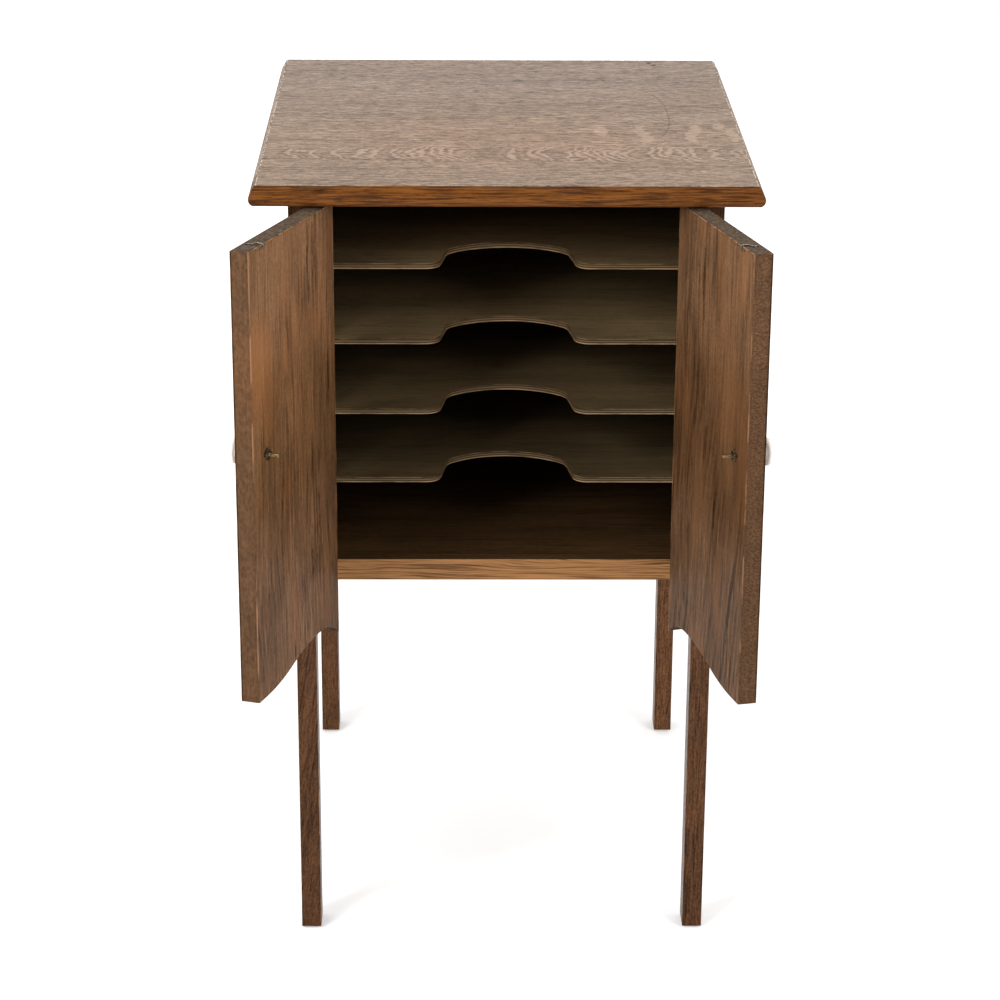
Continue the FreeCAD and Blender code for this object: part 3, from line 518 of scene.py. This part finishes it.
def door_stain(net, board, look, low_down, colour):
    """Ruddy clouds; painted shade towards the hinge edge, painted light on the upper part, and tints low
    down and at mid height.
    """
    z, x, y = board.axes
    ruddy = net.step(board.noise((110.0, 40.0, 30.0)), 0.48, 0.66)
    if look["ruddy_spot"]:
        ruddy = net.most(ruddy, spot(net, x, z, *look["ruddy_spot"]) * 1.6)
    colour = net.mixed(ruddy * 0.30, colour, look["ruddy"])
    # painted shade darkens the wood towards the hinge edge; painted light brightens the upper part, where
    # light falls from above
    hinge_shade = net.step(x, 80.0, 2.0) * look["hinge_shade"]
    colour = net.tinted(colour, 1.0 - hinge_shade + net.step(z, 540.0, 800.0) * 0.50)
    colour = net.tinted(colour, 1.0 + low_down * look["low_down"])
    middle = net.step(z, 520.0, 590.0) * net.step(z, 770.0, 690.0)
    return net.multiplied(middle, colour, look["middle"])


def door_meeting_edge(net, board, look, colour):
    """The meeting edge: darker and more even, with saw marks and a rubbed inner arris."""
    z, x, y = board.axes
    outward = x + (y - DOOR_OUTER) * EDGE_FALL - DOOR_FREE  # 0 on the edge, below 0 in the wood
    saw_sizes, saw_strength = look["saw"]
    saw = board.noise(saw_sizes, detail=2.0)
    plain = net.mixed(0.7, colour, MEETING_COLOUR)
    plain = net.tinted(plain, (saw - 0.5) * saw_strength + 0.72)
    plain = net.tinted(plain, 1.0 - net.step(y, 9.6, 8.0) * 0.72)
    colour = net.mixed(net.step(outward, -0.38, -0.18), colour, plain)
    from_arris = net.most(abs(outward), DOOR_INNER - y)
    reach = board.noise((60.0, 50.0, 50.0), detail=3.0)
    rubbed = net.step(from_arris, 1.5, 0.6) * net.step(reach, 0.46, 0.58)
    return net.mixed(rubbed * look["rubbed"], colour, MEETING_RUBBED)


def door_figure(hand):
    """Figure of a door board, with end grain on its top edge, and painted shade on the downward faces of
    its scalloped foot.
    """
    look = DOOR_LOOKS[hand]

    def figure(net, board, colour, rough, height):
        low_down = net.step(board.along, 620.0, 430.0)
        colour = net.tinted(colour, door_lines(net, board, look, low_down))
        colour = door_stain(net, board, look, low_down, colour)
        colour = door_meeting_edge(net, board, look, colour)

        upright = net.upright()
        ends = net.step(abs(upright), 0.45, 0.65)
        underneath = net.step(upright, 0.0, -0.3)
        grit = board.noise((20.0, 1.6, 4.0), detail=3.0)
        end_grain = net.mixed(net.step(grit, 0.36, 0.66), END_DARK, END_LIGHT)
        # painted shade: the faces that look down are darkened
        end_grain = net.tinted(end_grain, 1.0 - underneath * 0.5)
        return net.mixed(ends, colour, end_grain), rough + ends * 0.2 + underneath * 0.4, height

    return figure


# ---- the woods of the boards ------------------------------------------------------------------

TOP_LIGHT, TOP_DARK = (0.262, 0.189, 0.138), (0.119, 0.082, 0.059)
LEG_LIGHT, LEG_DARK = (0.088, 0.0385, 0.0165), (0.015, 0.0065, 0.0031)
DOOR_LIGHT, DOOR_DARK = (0.186, 0.096, 0.048), (0.044, 0.022, 0.011)
PANEL_LIGHT, PANEL_DARK = (0.125, 0.070, 0.034), (0.045, 0.024, 0.011)
CLEAT_LIGHT, CLEAT_DARK = (0.20, 0.12, 0.062), (0.075, 0.04, 0.02)
BOTTOM_LIGHT, BOTTOM_DARK = (0.084, 0.045, 0.018), (0.027, 0.014, 0.006)
SHELF_LIGHT, SHELF_DARK = (0.250, 0.176, 0.088), (0.095, 0.066, 0.033)
# the back's colours are partly painted shade: made as dark as the shade inside the case
BACK_LIGHT, BACK_DARK = (0.070, 0.046, 0.026), (0.026, 0.017, 0.010)
LEG_TONES = {"front_left_leg": 0.92, "front_right_leg": 1.02, "rear_left_leg": 1.18, "rear_right_leg": 1.82}
SHELF_TONES = (0.66, 0.76, 0.50, 0.40)  # from the top shelf down


def paint(node, material):
    """Give a CAD node a material."""
    mesh = NODES[node].data
    if len(mesh.materials) == 0:
        mesh.materials.append(material)
    for slot in NODES[node].material_slots:
        slot.link = "OBJECT"
        slot.material = material


paint("top_board", oak(
    "top_oak", "xyz", 1.0, case_box("top_board"), TOP_LIGHT, TOP_DARK, pith=(-520.0, 860.0), ring=9.0,
    streak=(60.0, 5.0), contrast=0.25, fine=1.1, pores=0.10, cloud=0.03, roughness=0.46, gloss=0.045,
    worn=0.0, bump=0.35, extra=top_figure))

for index, (leg, tone) in enumerate(LEG_TONES.items()):
    low, high = case_box(leg)
    front = leg.startswith("front")
    paint(leg, oak(
        leg + "_oak", "zxy", 3.0 + index, (low, high), *toned(tone, LEG_LIGHT, LEG_DARK),
        pith=(low[0] - 70.0, low[1] - 50.0 + 20.0 * index), ring=4.5, lean=0.02, warp=3.0,
        slant=(0.17 if leg == "front_left_leg" else 0.02), streak=((40.0 if front else 12.0), 2.2),
        contrast=0.38, fine=(1.7 if front else 1.5), blotch=0.2, pores=0.40, fleck=1.6))

for hand, side in SIDES.items():
    panel, cleat, door = hand + "_side_panel", hand + "_top_cleat", hand + "_door_board"
    paint(panel, oak(
        panel + "_oak", "zyx", 8.0 + side, case_box(panel), PANEL_LIGHT, PANEL_DARK,
        pith=(230.0, side * 290.0), ring=5.0, lean=0.03, warp=9.0, worn=0.0))
    paint(cleat, oak(
        cleat + "_wood", "yxz", 13.0 + side, case_box(cleat), CLEAT_LIGHT, CLEAT_DARK,
        pith=(side * 120.0, 900.0), ring=3.0, roughness=0.6, worn=0.4, worn_width=0.8))
    look = DOOR_LOOKS[hand]
    paint(door, oak(
        hand + "_door_oak", "zxy", 20.0 + 3 * side, DOOR_BOX, *toned(look["tone"], DOOR_LIGHT, DOOR_DARK),
        hand=hand, pith=look["pith"], ring=9.0, lean=look["lean"], warp=8.0, ragged=0.8, contrast=0.25,
        fine=0.9, blotch=0.25, pores=0.20, cloud=0.14, roughness=0.42, gloss=0.025, worn=0.8,
        worn_colour=(0.36, 0.18, 0.09), bump=0.35, extra=door_figure(hand)))

paint("bottom_board", oak(
    "bottom_oak", "xyz", 30.0, case_box("bottom_board"), BOTTOM_LIGHT, BOTTOM_DARK,
    pith=(-300.0, 300.0), ring=6.0, roughness=0.5, worn=0.0, extra=bottom_figure))

for number, tone in enumerate(SHELF_TONES, start=1):
    shelf = f"record_shelf_{number}"
    low, high = case_box(shelf)
    paint(shelf, oak(
        shelf + "_ply", "xyz", 40.0 + number, (low, high), *toned(tone, SHELF_LIGHT, SHELF_DARK),
        pith=(-30.0, low[2] - 55.0), ring=11.0, warp=22.0, contrast=0.3, fine=0.9, pores=0.2,
        roughness=0.5, worn=0.0, bump=0.15, extra=shelf_figure(low[2])))

# the back ply's dark colour is partly painted shade, matched to the shade inside the case
paint("back_panel", oak(
    "back_ply", "zxy", 50.0, case_box("back_panel"), BACK_LIGHT, BACK_DARK, pith=(40.0, 640.0),
    ring=13.0, lean=0.05, warp=26.0, contrast=0.35, pores=0.25, roughness=0.62, worn=0.4))


# ---- metals and porcelain ---------------------------------------------------------------------

GRIME = (0.03, 0.02, 0.012)
GLAZE_LIGHT, GLAZE_DARK = (0.95, 0.94, 0.915), (0.93, 0.905, 0.86)
GLAZE_DUST = (0.42, 0.34, 0.26)


def metal(name, bright, dull, roughness, tarnish, size=4.0):
    """Metal with patches of tarnish, size across, and with grime."""
    net = material_net(name)
    place = net.scaled(net.place(), (1000.0, 1000.0, 1000.0))
    patch = net.noise(place, (size, size, size), detail=4.0, roughness=0.6)
    fine = net.noise(place, (0.5, 0.5, 0.5), detail=3.0)
    dark = net.step(patch, 0.62 - 0.3 * tarnish, 0.78 - 0.3 * tarnish)
    colour = net.mixed(dark * 0.85, bright, dull)
    dirt = net.step(net.noise(place, (1.8, 1.8, 1.8), detail=4.0), 0.60, 0.74)
    colour = net.mixed(dirt * 0.6, colour, GRIME)
    rough = (patch - 0.5) * 0.3 + (fine - 0.5) * 0.15 + dirt * 0.25 + roughness
    return net.finish(colour, net.most(rough, 0.08), fine * 0.5 + patch * 0.5, 0.12, Metallic=1.0)


def porcelain(name):
    """White glaze, faintly creamy in clouds, with fine crazing and a little dust."""
    net = material_net(name)
    place = net.scaled(net.place(), (1000.0, 1000.0, 1000.0))
    cloud = net.noise(place, (14.0, 14.0, 14.0), detail=2.0)
    colour = net.mixed(net.step(cloud, 0.35, 0.7), GLAZE_LIGHT, GLAZE_DARK)
    cells = net.node("TexVoronoi", 0, {"Vector": place, "Scale": 0.35}, feature="DISTANCE_TO_EDGE")
    craze = net.step(cells, 0.022, 0.006) * net.step(cloud, 0.5, 0.62)
    speck = net.step(net.noise(place, (1.1, 1.1, 1.1), detail=2.0), 0.74, 0.78)
    colour = net.mixed(net.most(craze * 0.25, speck * 0.3), colour, GLAZE_DUST)
    return net.finish(colour, (cloud - 0.5) * 0.12 + 0.16, cloud - craze * 0.3, 0.05,
                      Coat_Weight=0.6, Coat_Roughness=0.06, Specular_IOR_Level=0.55)


BRASS = metal("aged_brass", (0.31, 0.215, 0.105), (0.09, 0.06, 0.03), 0.36, 0.60)
NUT_STEEL = metal("dark_nut_steel", (0.24, 0.175, 0.105), (0.06, 0.043, 0.026), 0.40, 0.60)
SPRING = metal("spring_wire_steel", (0.20, 0.175, 0.15), (0.085, 0.072, 0.058), 0.34, 0.50, size=2.5)
HINGE_STEEL = metal("hinge_steel", (0.17, 0.15, 0.125), (0.07, 0.055, 0.042), 0.48, 0.60)
SCREW_STEEL = metal("screw_steel", (0.26, 0.23, 0.19), (0.11, 0.09, 0.07), 0.42, 0.55)
GLIDE_STEEL = metal("glide_steel", (0.070, 0.060, 0.050), (0.030, 0.024, 0.019), 0.55, 0.50)
PORCELAIN = porcelain("porcelain_glaze")

for hand in SIDES:
    for level in HINGE_CENTRES:
        for part in ("leg", "door"):
            paint(f"{hand}_{level}_hinge_{part}_leaf", HINGE_STEEL)


# ---- modelling --------------------------------------------------------------------------------

CAP_ANGLES = (0.35, 0.8, 1.25)  # rings of a wire's rounded end, from its tip


def splined(points, steps):
    """Points on a smooth curve through the given ones."""
    ends = [points[0]] + list(points) + [points[-1]]
    curve = []
    for a, b, c, d in zip(ends, ends[1:], ends[2:], ends[3:]):
        for i in range(steps):
            t = i / steps
            curve.append(tuple(
                0.5 * (2 * q + (r - p) * t + (2 * p - 5 * q + 4 * r - s) * t * t
                       + (3 * q - p - 3 * r + s) * t ** 3) for p, q, r, s in zip(a, b, c, d)))
    return curve + [tuple(points[-1])]


def rounded(points, radii, steps=7):
    """Points along straight runs joined by tangent arcs."""
    points = [Vector(p) for p in points]
    path = [points[0]]
    for before, corner, after, radius in zip(points, points[1:], points[2:], radii):
        into, out = (corner - before).normalized(), (after - corner).normalized()
        turn = into.angle(out)
        setback = radius * math.tan(turn / 2)
        a, b = corner - into * setback, corner + out * setback
        centre = corner + (out - into).normalized() * radius / math.cos(turn / 2)
        for i in range(steps + 1):
            t = i / steps
            from_a, from_b = math.sin((1 - t) * turn) / math.sin(turn), math.sin(t * turn) / math.sin(turn)
            path.append(centre + (a - centre) * from_a + (b - centre) * from_b)
    return path + [points[-1]]


def circle(sides):
    """The angles of a ring of vertices."""
    return [2 * math.pi * k / sides for k in range(sides)]


def skin(bm, low, high, sides):
    """Faces between two rings, either of which may be a single vertex."""
    for k in range(sides):
        after = (k + 1) % sides
        corners = [low[k % len(low)], low[after % len(low)], high[after % len(high)], high[k % len(high)]]
        unique = list(dict.fromkeys(corners))
        if len(unique) > 2:
            bm.faces.new(unique)


def lathe(profile, sides, ring=False):
    """bmesh turned about Z from (radius, height) points. A radius of 0 closes an end; with ring
    the profile is a closed loop round the axis."""
    bm = bmesh.new()
    rows = []
    for radius, height in profile:
        angles = circle(sides) if radius > 0 else [0.0]
        rows.append([bm.verts.new((radius * math.cos(a), radius * math.sin(a), height)) for a in angles])
    for low, high in list(zip(rows, rows[1:])) + ([(rows[-1], rows[0])] if ring else []):
        skin(bm, low, high, sides)
    bmesh.ops.recalc_face_normals(bm, faces=bm.faces)
    return bm


def tube(points, radius, sides=14):
    """bmesh of a wire along points, with rounded ends inside its length."""
    points = [Vector(p) for p in points]
    start, end = points[0], points[-1]
    first, last = (points[1] - start).normalized(), (end - points[-2]).normalized()
    # centre, direction and share of the full radius of each ring
    rings = [(start + first * radius * (1.0 - math.cos(a)), first, math.sin(a)) for a in CAP_ANGLES]
    rings.append((start + first * radius, first, 1.0))
    for before, here, after in zip(points, points[1:], points[2:]):
        rings.append((here, (after - before).normalized(), 1.0))
    rings.append((end - last * radius, last, 1.0))
    rings += [(end - last * radius * (1.0 - math.cos(a)), last, math.sin(a)) for a in reversed(CAP_ANGLES)]

    bm = bmesh.new()
    normal = first.orthogonal().normalized()
    rows = []
    for centre, direction, share in rings:
        normal = (normal - direction * normal.dot(direction)).normalized()
        across = direction.cross(normal)
        rows.append([bm.verts.new(centre + (normal * math.cos(a) + across * math.sin(a)) * radius * share)
                     for a in circle(sides)])
    for low, high in zip(rows, rows[1:]):
        skin(bm, low, high, sides)
    bm.faces.new(rows[0])
    bm.faces.new(rows[-1])
    bmesh.ops.recalc_face_normals(bm, faces=bm.faces)
    return bm


def moved(bm, matrix):
    """The bmesh moved by a matrix, its faces turned outwards again if that mirrors."""
    bm.transform(matrix)
    if matrix.determinant() < 0:
        bmesh.ops.reverse_faces(bm, faces=bm.faces)
    return bm


def facing(place, direction):
    """Matrix that puts a piece turned about Z at place, with its Z along direction."""
    turn = Vector(direction).to_track_quat("Z", "Y").to_matrix().to_4x4()
    return Matrix.Translation(place) @ turn


def as_object(name, bm):
    """An object from a bmesh, which is used up."""
    mesh = bpy.data.meshes.new(name)
    bm.to_mesh(mesh)
    bm.free()
    made = bpy.data.objects.new(name, mesh)
    bpy.context.scene.collection.objects.link(made)
    return made


def piece(name, parts, body, material, node, sharp=35.0):
    """Stand for a CAD node with bmeshes in the row frame, smooth but for their sharp edges."""
    whole = bmesh.new()
    for part in parts:
        mesh = bpy.data.meshes.new("part")
        part.to_mesh(mesh)
        part.free()
        whole.from_mesh(mesh)
        bpy.data.meshes.remove(mesh)
    made = as_object(name, whole)
    made.data.shade_smooth()
    made.data.set_sharp_from_angle(angle=math.radians(sharp))
    made.data.materials.append(material)
    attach(made, body)
    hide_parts(node)


def slotted(bm, radius, top, width, depth):
    """A screw with a driver slot across its head, whose radius and highest point are given."""
    bottom, clear = top - depth, top + 1.0
    box = bmesh.new()
    middle = Matrix.Translation((0, 0, (bottom + clear) / 2))
    size = Matrix.Diagonal((radius * 2.4, width, clear - bottom, 1))
    bmesh.ops.create_cube(box, size=1.0, matrix=middle @ size)
    screw, bar = as_object("screw", bm), as_object("bar", box)
    cut = screw.modifiers.new("slot", "BOOLEAN")
    cut.operation, cut.object, cut.solver = "DIFFERENCE", bar, "EXACT"
    graph = bpy.context.evaluated_depsgraph_get()
    result = bpy.data.meshes.new_from_object(screw.evaluated_get(graph))
    bm = bmesh.new()
    bm.from_mesh(result)
    for mesh in (screw.data, bar.data, result):
        bpy.data.meshes.remove(mesh)  # the object goes with its mesh
    return bm


# ---- hardware ---------------------------------------------------------------------------------

SCREW_HEAD, SCREW_SHANK = 3.0, 1.5  # radii
LEAF_FACE = 0.5  # the hinge leaves' faces lie this far from the pin's plane
LEAF_SCREWS = ((14.5, -17.0), (11.5, 0.0), (14.5, 17.0))  # Y, and Z from the hinge's middle
PIN_RADIUS, PIN_HEAD = 1.5, 2.6
# outline of the knob from its foot to its face: radius, distance from the door
KNOB_OUTLINE = ((8.8, 0.0), (8.7, 0.9), (7.6, 2.9), (6.6, 5.6), (7.2, 8.4), (10.2, 10.2), (13.4, 11.9),
                (14.5, 14.3), (14.0, 17.0), (11.95, 19.75), (8.7, 21.8), (5.1, 22.85), (3.95, 23.0))
KNOB_HOLE = 2.1
BOLT_RADIUS, BOLT_ROOT, BOLT_HEAD, BOLT_FACE = 2.0, 1.72, 3.8, 23.7
BOLT_END = DOOR_OUTER - DOOR_INNER - 14.5  # its tip, 14.5 beyond the inner face; 0 is the outer one
THREAD_TURNS, THREAD_PITCH = 17, 0.8
NUT_HALF, NUT_HOLE, NUT_HEIGHT = 4.75, 2.05, 3.2
NUT_ROWS = ((0.0, 0.0, 0.12), (2.75, 0.0, 0.12), (NUT_HEIGHT, 0.12, 0.55))  # Z, bevel, corner cut
NUT_TURN = {"left": 45.0, "right": 27.0}
CATCH_X, CATCH_BACK_X = DOOR_FREE - 27.5, DOOR_FREE - 34.0  # where the wire rises and where it hangs
CATCH_RADIUS, CATCH_BENDS = 0.8, (1.2, 2.5, 2.5, 1.3, 1.2)
BACK_FACE = 563.0  # outside of the back panel
NAIL_X, NAIL_LOW, NAIL_HIGH = 209.5, 475.5, 832.0  # nails in the rear legs
FOOT_NAILS_X, FOOT_NAILS_Z = (-150, -50, 50, 150), 433.5  # nails in the bottom board
CLEAT_SCREWS_X, CLEAT_SCREWS_Y, CLEAT_UNDERSIDE = 196.5, (100.0, 280.0, 460.0), 852.0
GLIDE_X, GLIDE_Y = 217.5, (17.5, 546.5)


def wood_screw(length):
    """Countersunk screw, its head's face at Z = 0 and its point below."""
    head = [(0, 0), (SCREW_HEAD - 0.3, 0), (SCREW_HEAD - 0.05, -0.12), (SCREW_HEAD, -0.3)]
    shank = [(SCREW_SHANK, -1.8), (SCREW_SHANK, 3.0 - length), (0, -length)]
    return slotted(lathe(head + shank, 32), SCREW_HEAD, 0.0, 0.7, 0.8)


def screw_set(template, spots, direction, matrix, seed):
    """Screws with their slots turned at odd angles."""
    screws = []
    for i, place in enumerate(spots):
        turn = Matrix.Rotation((seed * 1.7 + i * 2.3) % math.pi, 4, "Z")
        screws.append(moved(template.copy(), matrix @ facing(place, direction) @ turn))
    return screws


def hinge_pin():
    """Pin with a low domed head, centred on its hinge."""
    half = HINGE_HEIGHT / 2
    stem = [(0, -half), (PIN_RADIUS - 0.3, -half), (PIN_RADIUS, 0.4 - half), (PIN_RADIUS, half)]
    head = [(PIN_HEAD - 0.25, half), (PIN_HEAD, half + 0.25), (PIN_HEAD, half + 0.9),
            (PIN_HEAD - 0.4, half + 1.3), (0, half + 1.4)]
    return lathe(stem + head, 32)


def porcelain_knob():
    """Knob with a hole through it that widens for the bolt's head."""
    outline = splined(KNOB_OUTLINE, 5)
    return lathe([(KNOB_HOLE, 0.0)] + outline + [(3.85, 22.9), (KNOB_HOLE, 21.1)], 72, ring=True)


def machine_bolt():
    """Slotted bolt through knob and door, with rings for its thread."""
    threads = []
    for i in range(THREAD_TURNS):
        z = BOLT_END + 0.5 + i * THREAD_PITCH
        threads += [(BOLT_ROOT, z), (BOLT_RADIUS, z + 0.22), (BOLT_RADIUS, z + 0.36), (BOLT_ROOT, z + 0.58)]
    shank = [(0, BOLT_END), (1.35, BOLT_END), (1.7, BOLT_END + 0.35)] + threads
    head = [(BOLT_RADIUS, threads[-1][1] + 0.3), (BOLT_RADIUS, 21.1), (BOLT_HEAD, 23.0), (3.5, 23.32),
            (2.4, 23.62), (1.2, BOLT_FACE), (0, BOLT_FACE)]
    return slotted(lathe(shank + head, 40), BOLT_HEAD, BOLT_FACE, 0.8, 0.75)


def square_nut():
    """Square nut with bevelled corners, standing on Z = 0."""
    bm = bmesh.new()
    rows, hole = [], []
    for z, bevel, cut in NUT_ROWS:
        corners = [Vector((NUT_HALF - bevel, sign * (NUT_HALF - cut), z)) for sign in (-1, 1)]
        turns = [Matrix.Rotation(math.pi / 2 * quarter, 4, "Z") for quarter in range(4)]
        rows.append([bm.verts.new(turn @ corner) for turn in turns for corner in corners])
    for z in (0.0, NUT_HEIGHT):
        hole.append([bm.verts.new((NUT_HOLE * math.cos(a), NUT_HOLE * math.sin(a), z)) for a in circle(32)])
    for low, high in zip(rows, rows[1:]):
        skin(bm, low, high, 8)
    skin(bm, hole[1], hole[0], 32)  # wound to face the axis
    for outer, inner in ((rows[0], hole[0]), (rows[-1], hole[1])):
        pairs = [pair for loop in (outer, inner) for pair in zip(loop, loop[1:] + loop[:1])]
        bmesh.ops.bridge_loops(bm, edges=[bm.edges.get(pair) for pair in pairs])
    bmesh.ops.recalc_face_normals(bm, faces=bm.faces)
    return bm


def wire_catch():
    """Spring wire that rises from a hole in the top edge and bends over it down the inner face."""
    y, back_y = DOOR_OUTER + 5.0, DOOR_INNER + 0.9
    over, low = DOOR_HIGH + 0.9, DOOR_HIGH - 3.2
    route = [(CATCH_X, y, DOOR_HIGH - 9.0), (CATCH_X, y, over), (CATCH_X + 0.5, y + 6.0, over),
             (CATCH_BACK_X, y + 9.0, over), (CATCH_BACK_X, back_y, over),
             (CATCH_BACK_X + 0.5, back_y, low), (CATCH_X + 2.0, back_y, low + 0.6)]
    return tube(rounded(route, CATCH_BENDS), CATCH_RADIUS)


def back_nail():
    """Nail with a domed head on Z = 0 and its point below."""
    head = [(0, 0.6), (0.7, 0.6), (1.3, 0.5), (1.7, 0.25), (1.8, 0.0)]
    return lathe(head + [(0.8, 0.0), (0.8, -14.0), (0, -15.7)], 20)


def nail_glide():
    """Domed glide under a foot, with its nail above."""
    dome = splined([(3.5, 0.0), (5.4, 0.28), (7.2, 1.1), (8.2, 1.9), (8.5, 2.5)], 4)
    return lathe([(0, 0.0)] + dome + [(1.3, 2.5), (1.3, 13.5), (0, 16.5)], 40)


short_screw, long_screw = wood_screw(14.0), wood_screw(24.0)
for hand, side in SIDES.items():
    body = hand + "_door"
    on_leg, on_door = door_to_row(hand, 0.0), door_to_row(hand, OPEN_ANGLE[hand])

    for part, rides, matrix, facing_x, seed in (("leg", "cabinet", on_leg, 1, 1 + side),
                                                ("door", body, on_door, -1, 5 + side)):
        spots = [(-facing_x * LEAF_FACE, y, centre + z)
                 for centre in HINGE_CENTRES.values() for y, z in LEAF_SCREWS]
        piece(f"{hand}_{part}_screws", screw_set(short_screw, spots, (facing_x, 0, 0), matrix, seed),
              rides, SCREW_STEEL, f"{hand}_{part}_hinge_screws")
    for level, centre in HINGE_CENTRES.items():
        piece(f"{hand}_{level}_pin", [moved(hinge_pin(), on_leg @ Matrix.Translation((0, 0, centre)))],
              "cabinet", HINGE_STEEL, f"{hand}_{level}_hinge_pin")

    outside = on_door @ facing((KNOB_X, DOOR_OUTER, KNOB_Z), (0, -1, 0))
    inside = on_door @ facing((KNOB_X, DOOR_INNER, KNOB_Z), (0, 1, 0))
    turned = Matrix.Rotation(math.radians(NUT_TURN[hand]), 4, "Z")
    piece(hand + "_porcelain_knob", [moved(porcelain_knob(), outside)], body, PORCELAIN,
          hand + "_door_knob", sharp=50.0)
    piece(hand + "_machine_bolt", [moved(machine_bolt(), outside)], body, BRASS,
          hand + "_knob_bolt", sharp=30.0)
    piece(hand + "_square_nut", [moved(square_nut(), inside @ turned)], body, NUT_STEEL,
          hand + "_knob_nut")
    piece(hand + "_wire_catch", [moved(wire_catch(), on_door)], body, SPRING,
          hand + "_catch_wire")

spots = [(side * CLEAT_SCREWS_X, y, CLEAT_UNDERSIDE) for side in (-1, 1) for y in CLEAT_SCREWS_Y]
piece("cleat_wood_screws", screw_set(long_screw, spots, (0, 0, -1), CASE_TO_ROW, 3), "cabinet",
      SCREW_STEEL, "cleat_screws")
for template in (short_screw, long_screw):
    template.free()

spots = [(side * NAIL_X, BACK_FACE, NAIL_LOW + (NAIL_HIGH - NAIL_LOW) * i / 3)
         for i in range(4) for side in (-1, 1)]
spots += [(x, BACK_FACE, FOOT_NAILS_Z) for x in FOOT_NAILS_X]
piece("back_nails", [moved(back_nail(), CASE_TO_ROW @ facing(place, (0, 1, 0))) for place in spots],
      "cabinet", SCREW_STEEL, "back_panel_nails")

spots = [(side * GLIDE_X, y, 0.0) for side in (-1, 1) for y in GLIDE_Y]
piece("nail_glides", [moved(nail_glide(), CASE_TO_ROW @ Matrix.Translation(place)) for place in spots],
      "cabinet", GLIDE_STEEL, "foot_glides")


# ---- floor, light and camera, in metres -------------------------------------------------------

FLOOR_HALF = 5.0
FLOOR_DARK, FLOOR_LIGHT = (0.80, 0.80, 0.80), (0.83, 0.83, 0.83)
WHITE, WARM_WHITE = (1.0, 1.0, 1.0), (1.0, 0.99, 0.975)
PHOTO_PIXELS = 1000.0
FOCAL_PIXELS = 2953.83
SENSOR = 36.0
CAMERA_PLACE = (-0.041269, -3.174760, 1.651490)
PITCH, YAW, ROLL = (math.radians(a) for a in (20.629, 0.819, -0.343))

# a floor that fades into the white ground
net = material_net("studio_floor")
place = net.place()
x, y, _ = net.split(place)
speckle = net.noise(place, (0.05, 0.05, 0.05), detail=3.0)
far_off = net.step(net.length(x, y), 0.7, 2.4)
floor_material = net.finish(net.mixed(speckle, FLOOR_DARK, FLOOR_LIGHT), (speckle - 0.5) * 0.1 + 0.7,
                            Specular_IOR_Level=0.1, Emission_Color=WHITE,
                            Emission_Strength=far_off * 0.3 + 0.29)
grid = bmesh.new()
bmesh.ops.create_grid(grid, x_segments=8, y_segments=8, size=FLOOR_HALF)
floor = as_object("studio_floor", grid)
floor.data.materials.append(floor_material)

# a ground that the camera sees white; its light is stronger from behind the cabinet
world = bpy.data.worlds.new("studio")
bpy.context.scene.world = world
net = Net(world)
backward = net.split(net.node("TexCoord", "Generated", {}))[1]
glow = net.ramp(backward, -0.6, 0.5, 0.42, 0.98)
seen = net.node("LightPath", "Is Camera Ray", {})
strength = net.node("Mix", 0, {0: seen, 2: glow, 3: 1.0})
background = net.node("Background", 0, {"Color": WHITE, "Strength": strength})
net.feed(net.nodes.new("ShaderNodeOutputWorld").inputs[0], background)


def softbox(name, place, target, size, power, colour=WHITE):
    """Square area light that points at a target."""
    light = bpy.data.lights.new(name, "AREA")
    light.shape = "SQUARE"
    light.size = size
    light.energy = power
    light.color = colour
    lamp = bpy.data.objects.new(name, light)
    bpy.context.scene.collection.objects.link(lamp)
    lamp.location = place
    lamp.rotation_euler = (Vector(target) - Vector(place)).to_track_quat("-Z", "Y").to_euler()


softbox("overhead", (0.0, 0.2, 3.2), (0.0, 0.0, 0.6), 2.6, 26.0)
softbox("front_left", (-2.4, -2.8, 2.4), (0.0, -0.1, 0.6), 1.8, 130.0, WARM_WHITE)
softbox("front_right", (2.6, -2.6, 2.2), (0.0, -0.1, 0.6), 1.8, 75.0, WARM_WHITE)

forward = Vector((math.sin(YAW) * math.cos(PITCH), math.cos(YAW) * math.cos(PITCH), -math.sin(PITCH)))
level_right = Vector((math.cos(YAW), -math.sin(YAW), 0))
level_down = forward.cross(level_right)
right = math.cos(ROLL) * level_right + math.sin(ROLL) * level_down
down = math.cos(ROLL) * level_down - math.sin(ROLL) * level_right
camera_data = bpy.data.cameras.new("camera")
camera_data.sensor_fit = "HORIZONTAL"
camera_data.sensor_width = SENSOR
camera_data.lens = FOCAL_PIXELS * SENSOR / PHOTO_PIXELS
camera = bpy.data.objects.new("camera", camera_data)
bpy.context.scene.collection.objects.link(camera)
turn = Matrix((right, -down, -forward)).transposed().to_4x4()
camera.matrix_world = Matrix.Translation(CAMERA_PLACE) @ turn
bpy.context.scene.camera = camera

settings = bpy.context.scene.view_settings
settings.view_transform = "Standard"
settings.look = "None"
settings.exposure = 0.0
settings.gamma = 1.0

bpy.context.view_layer.update()
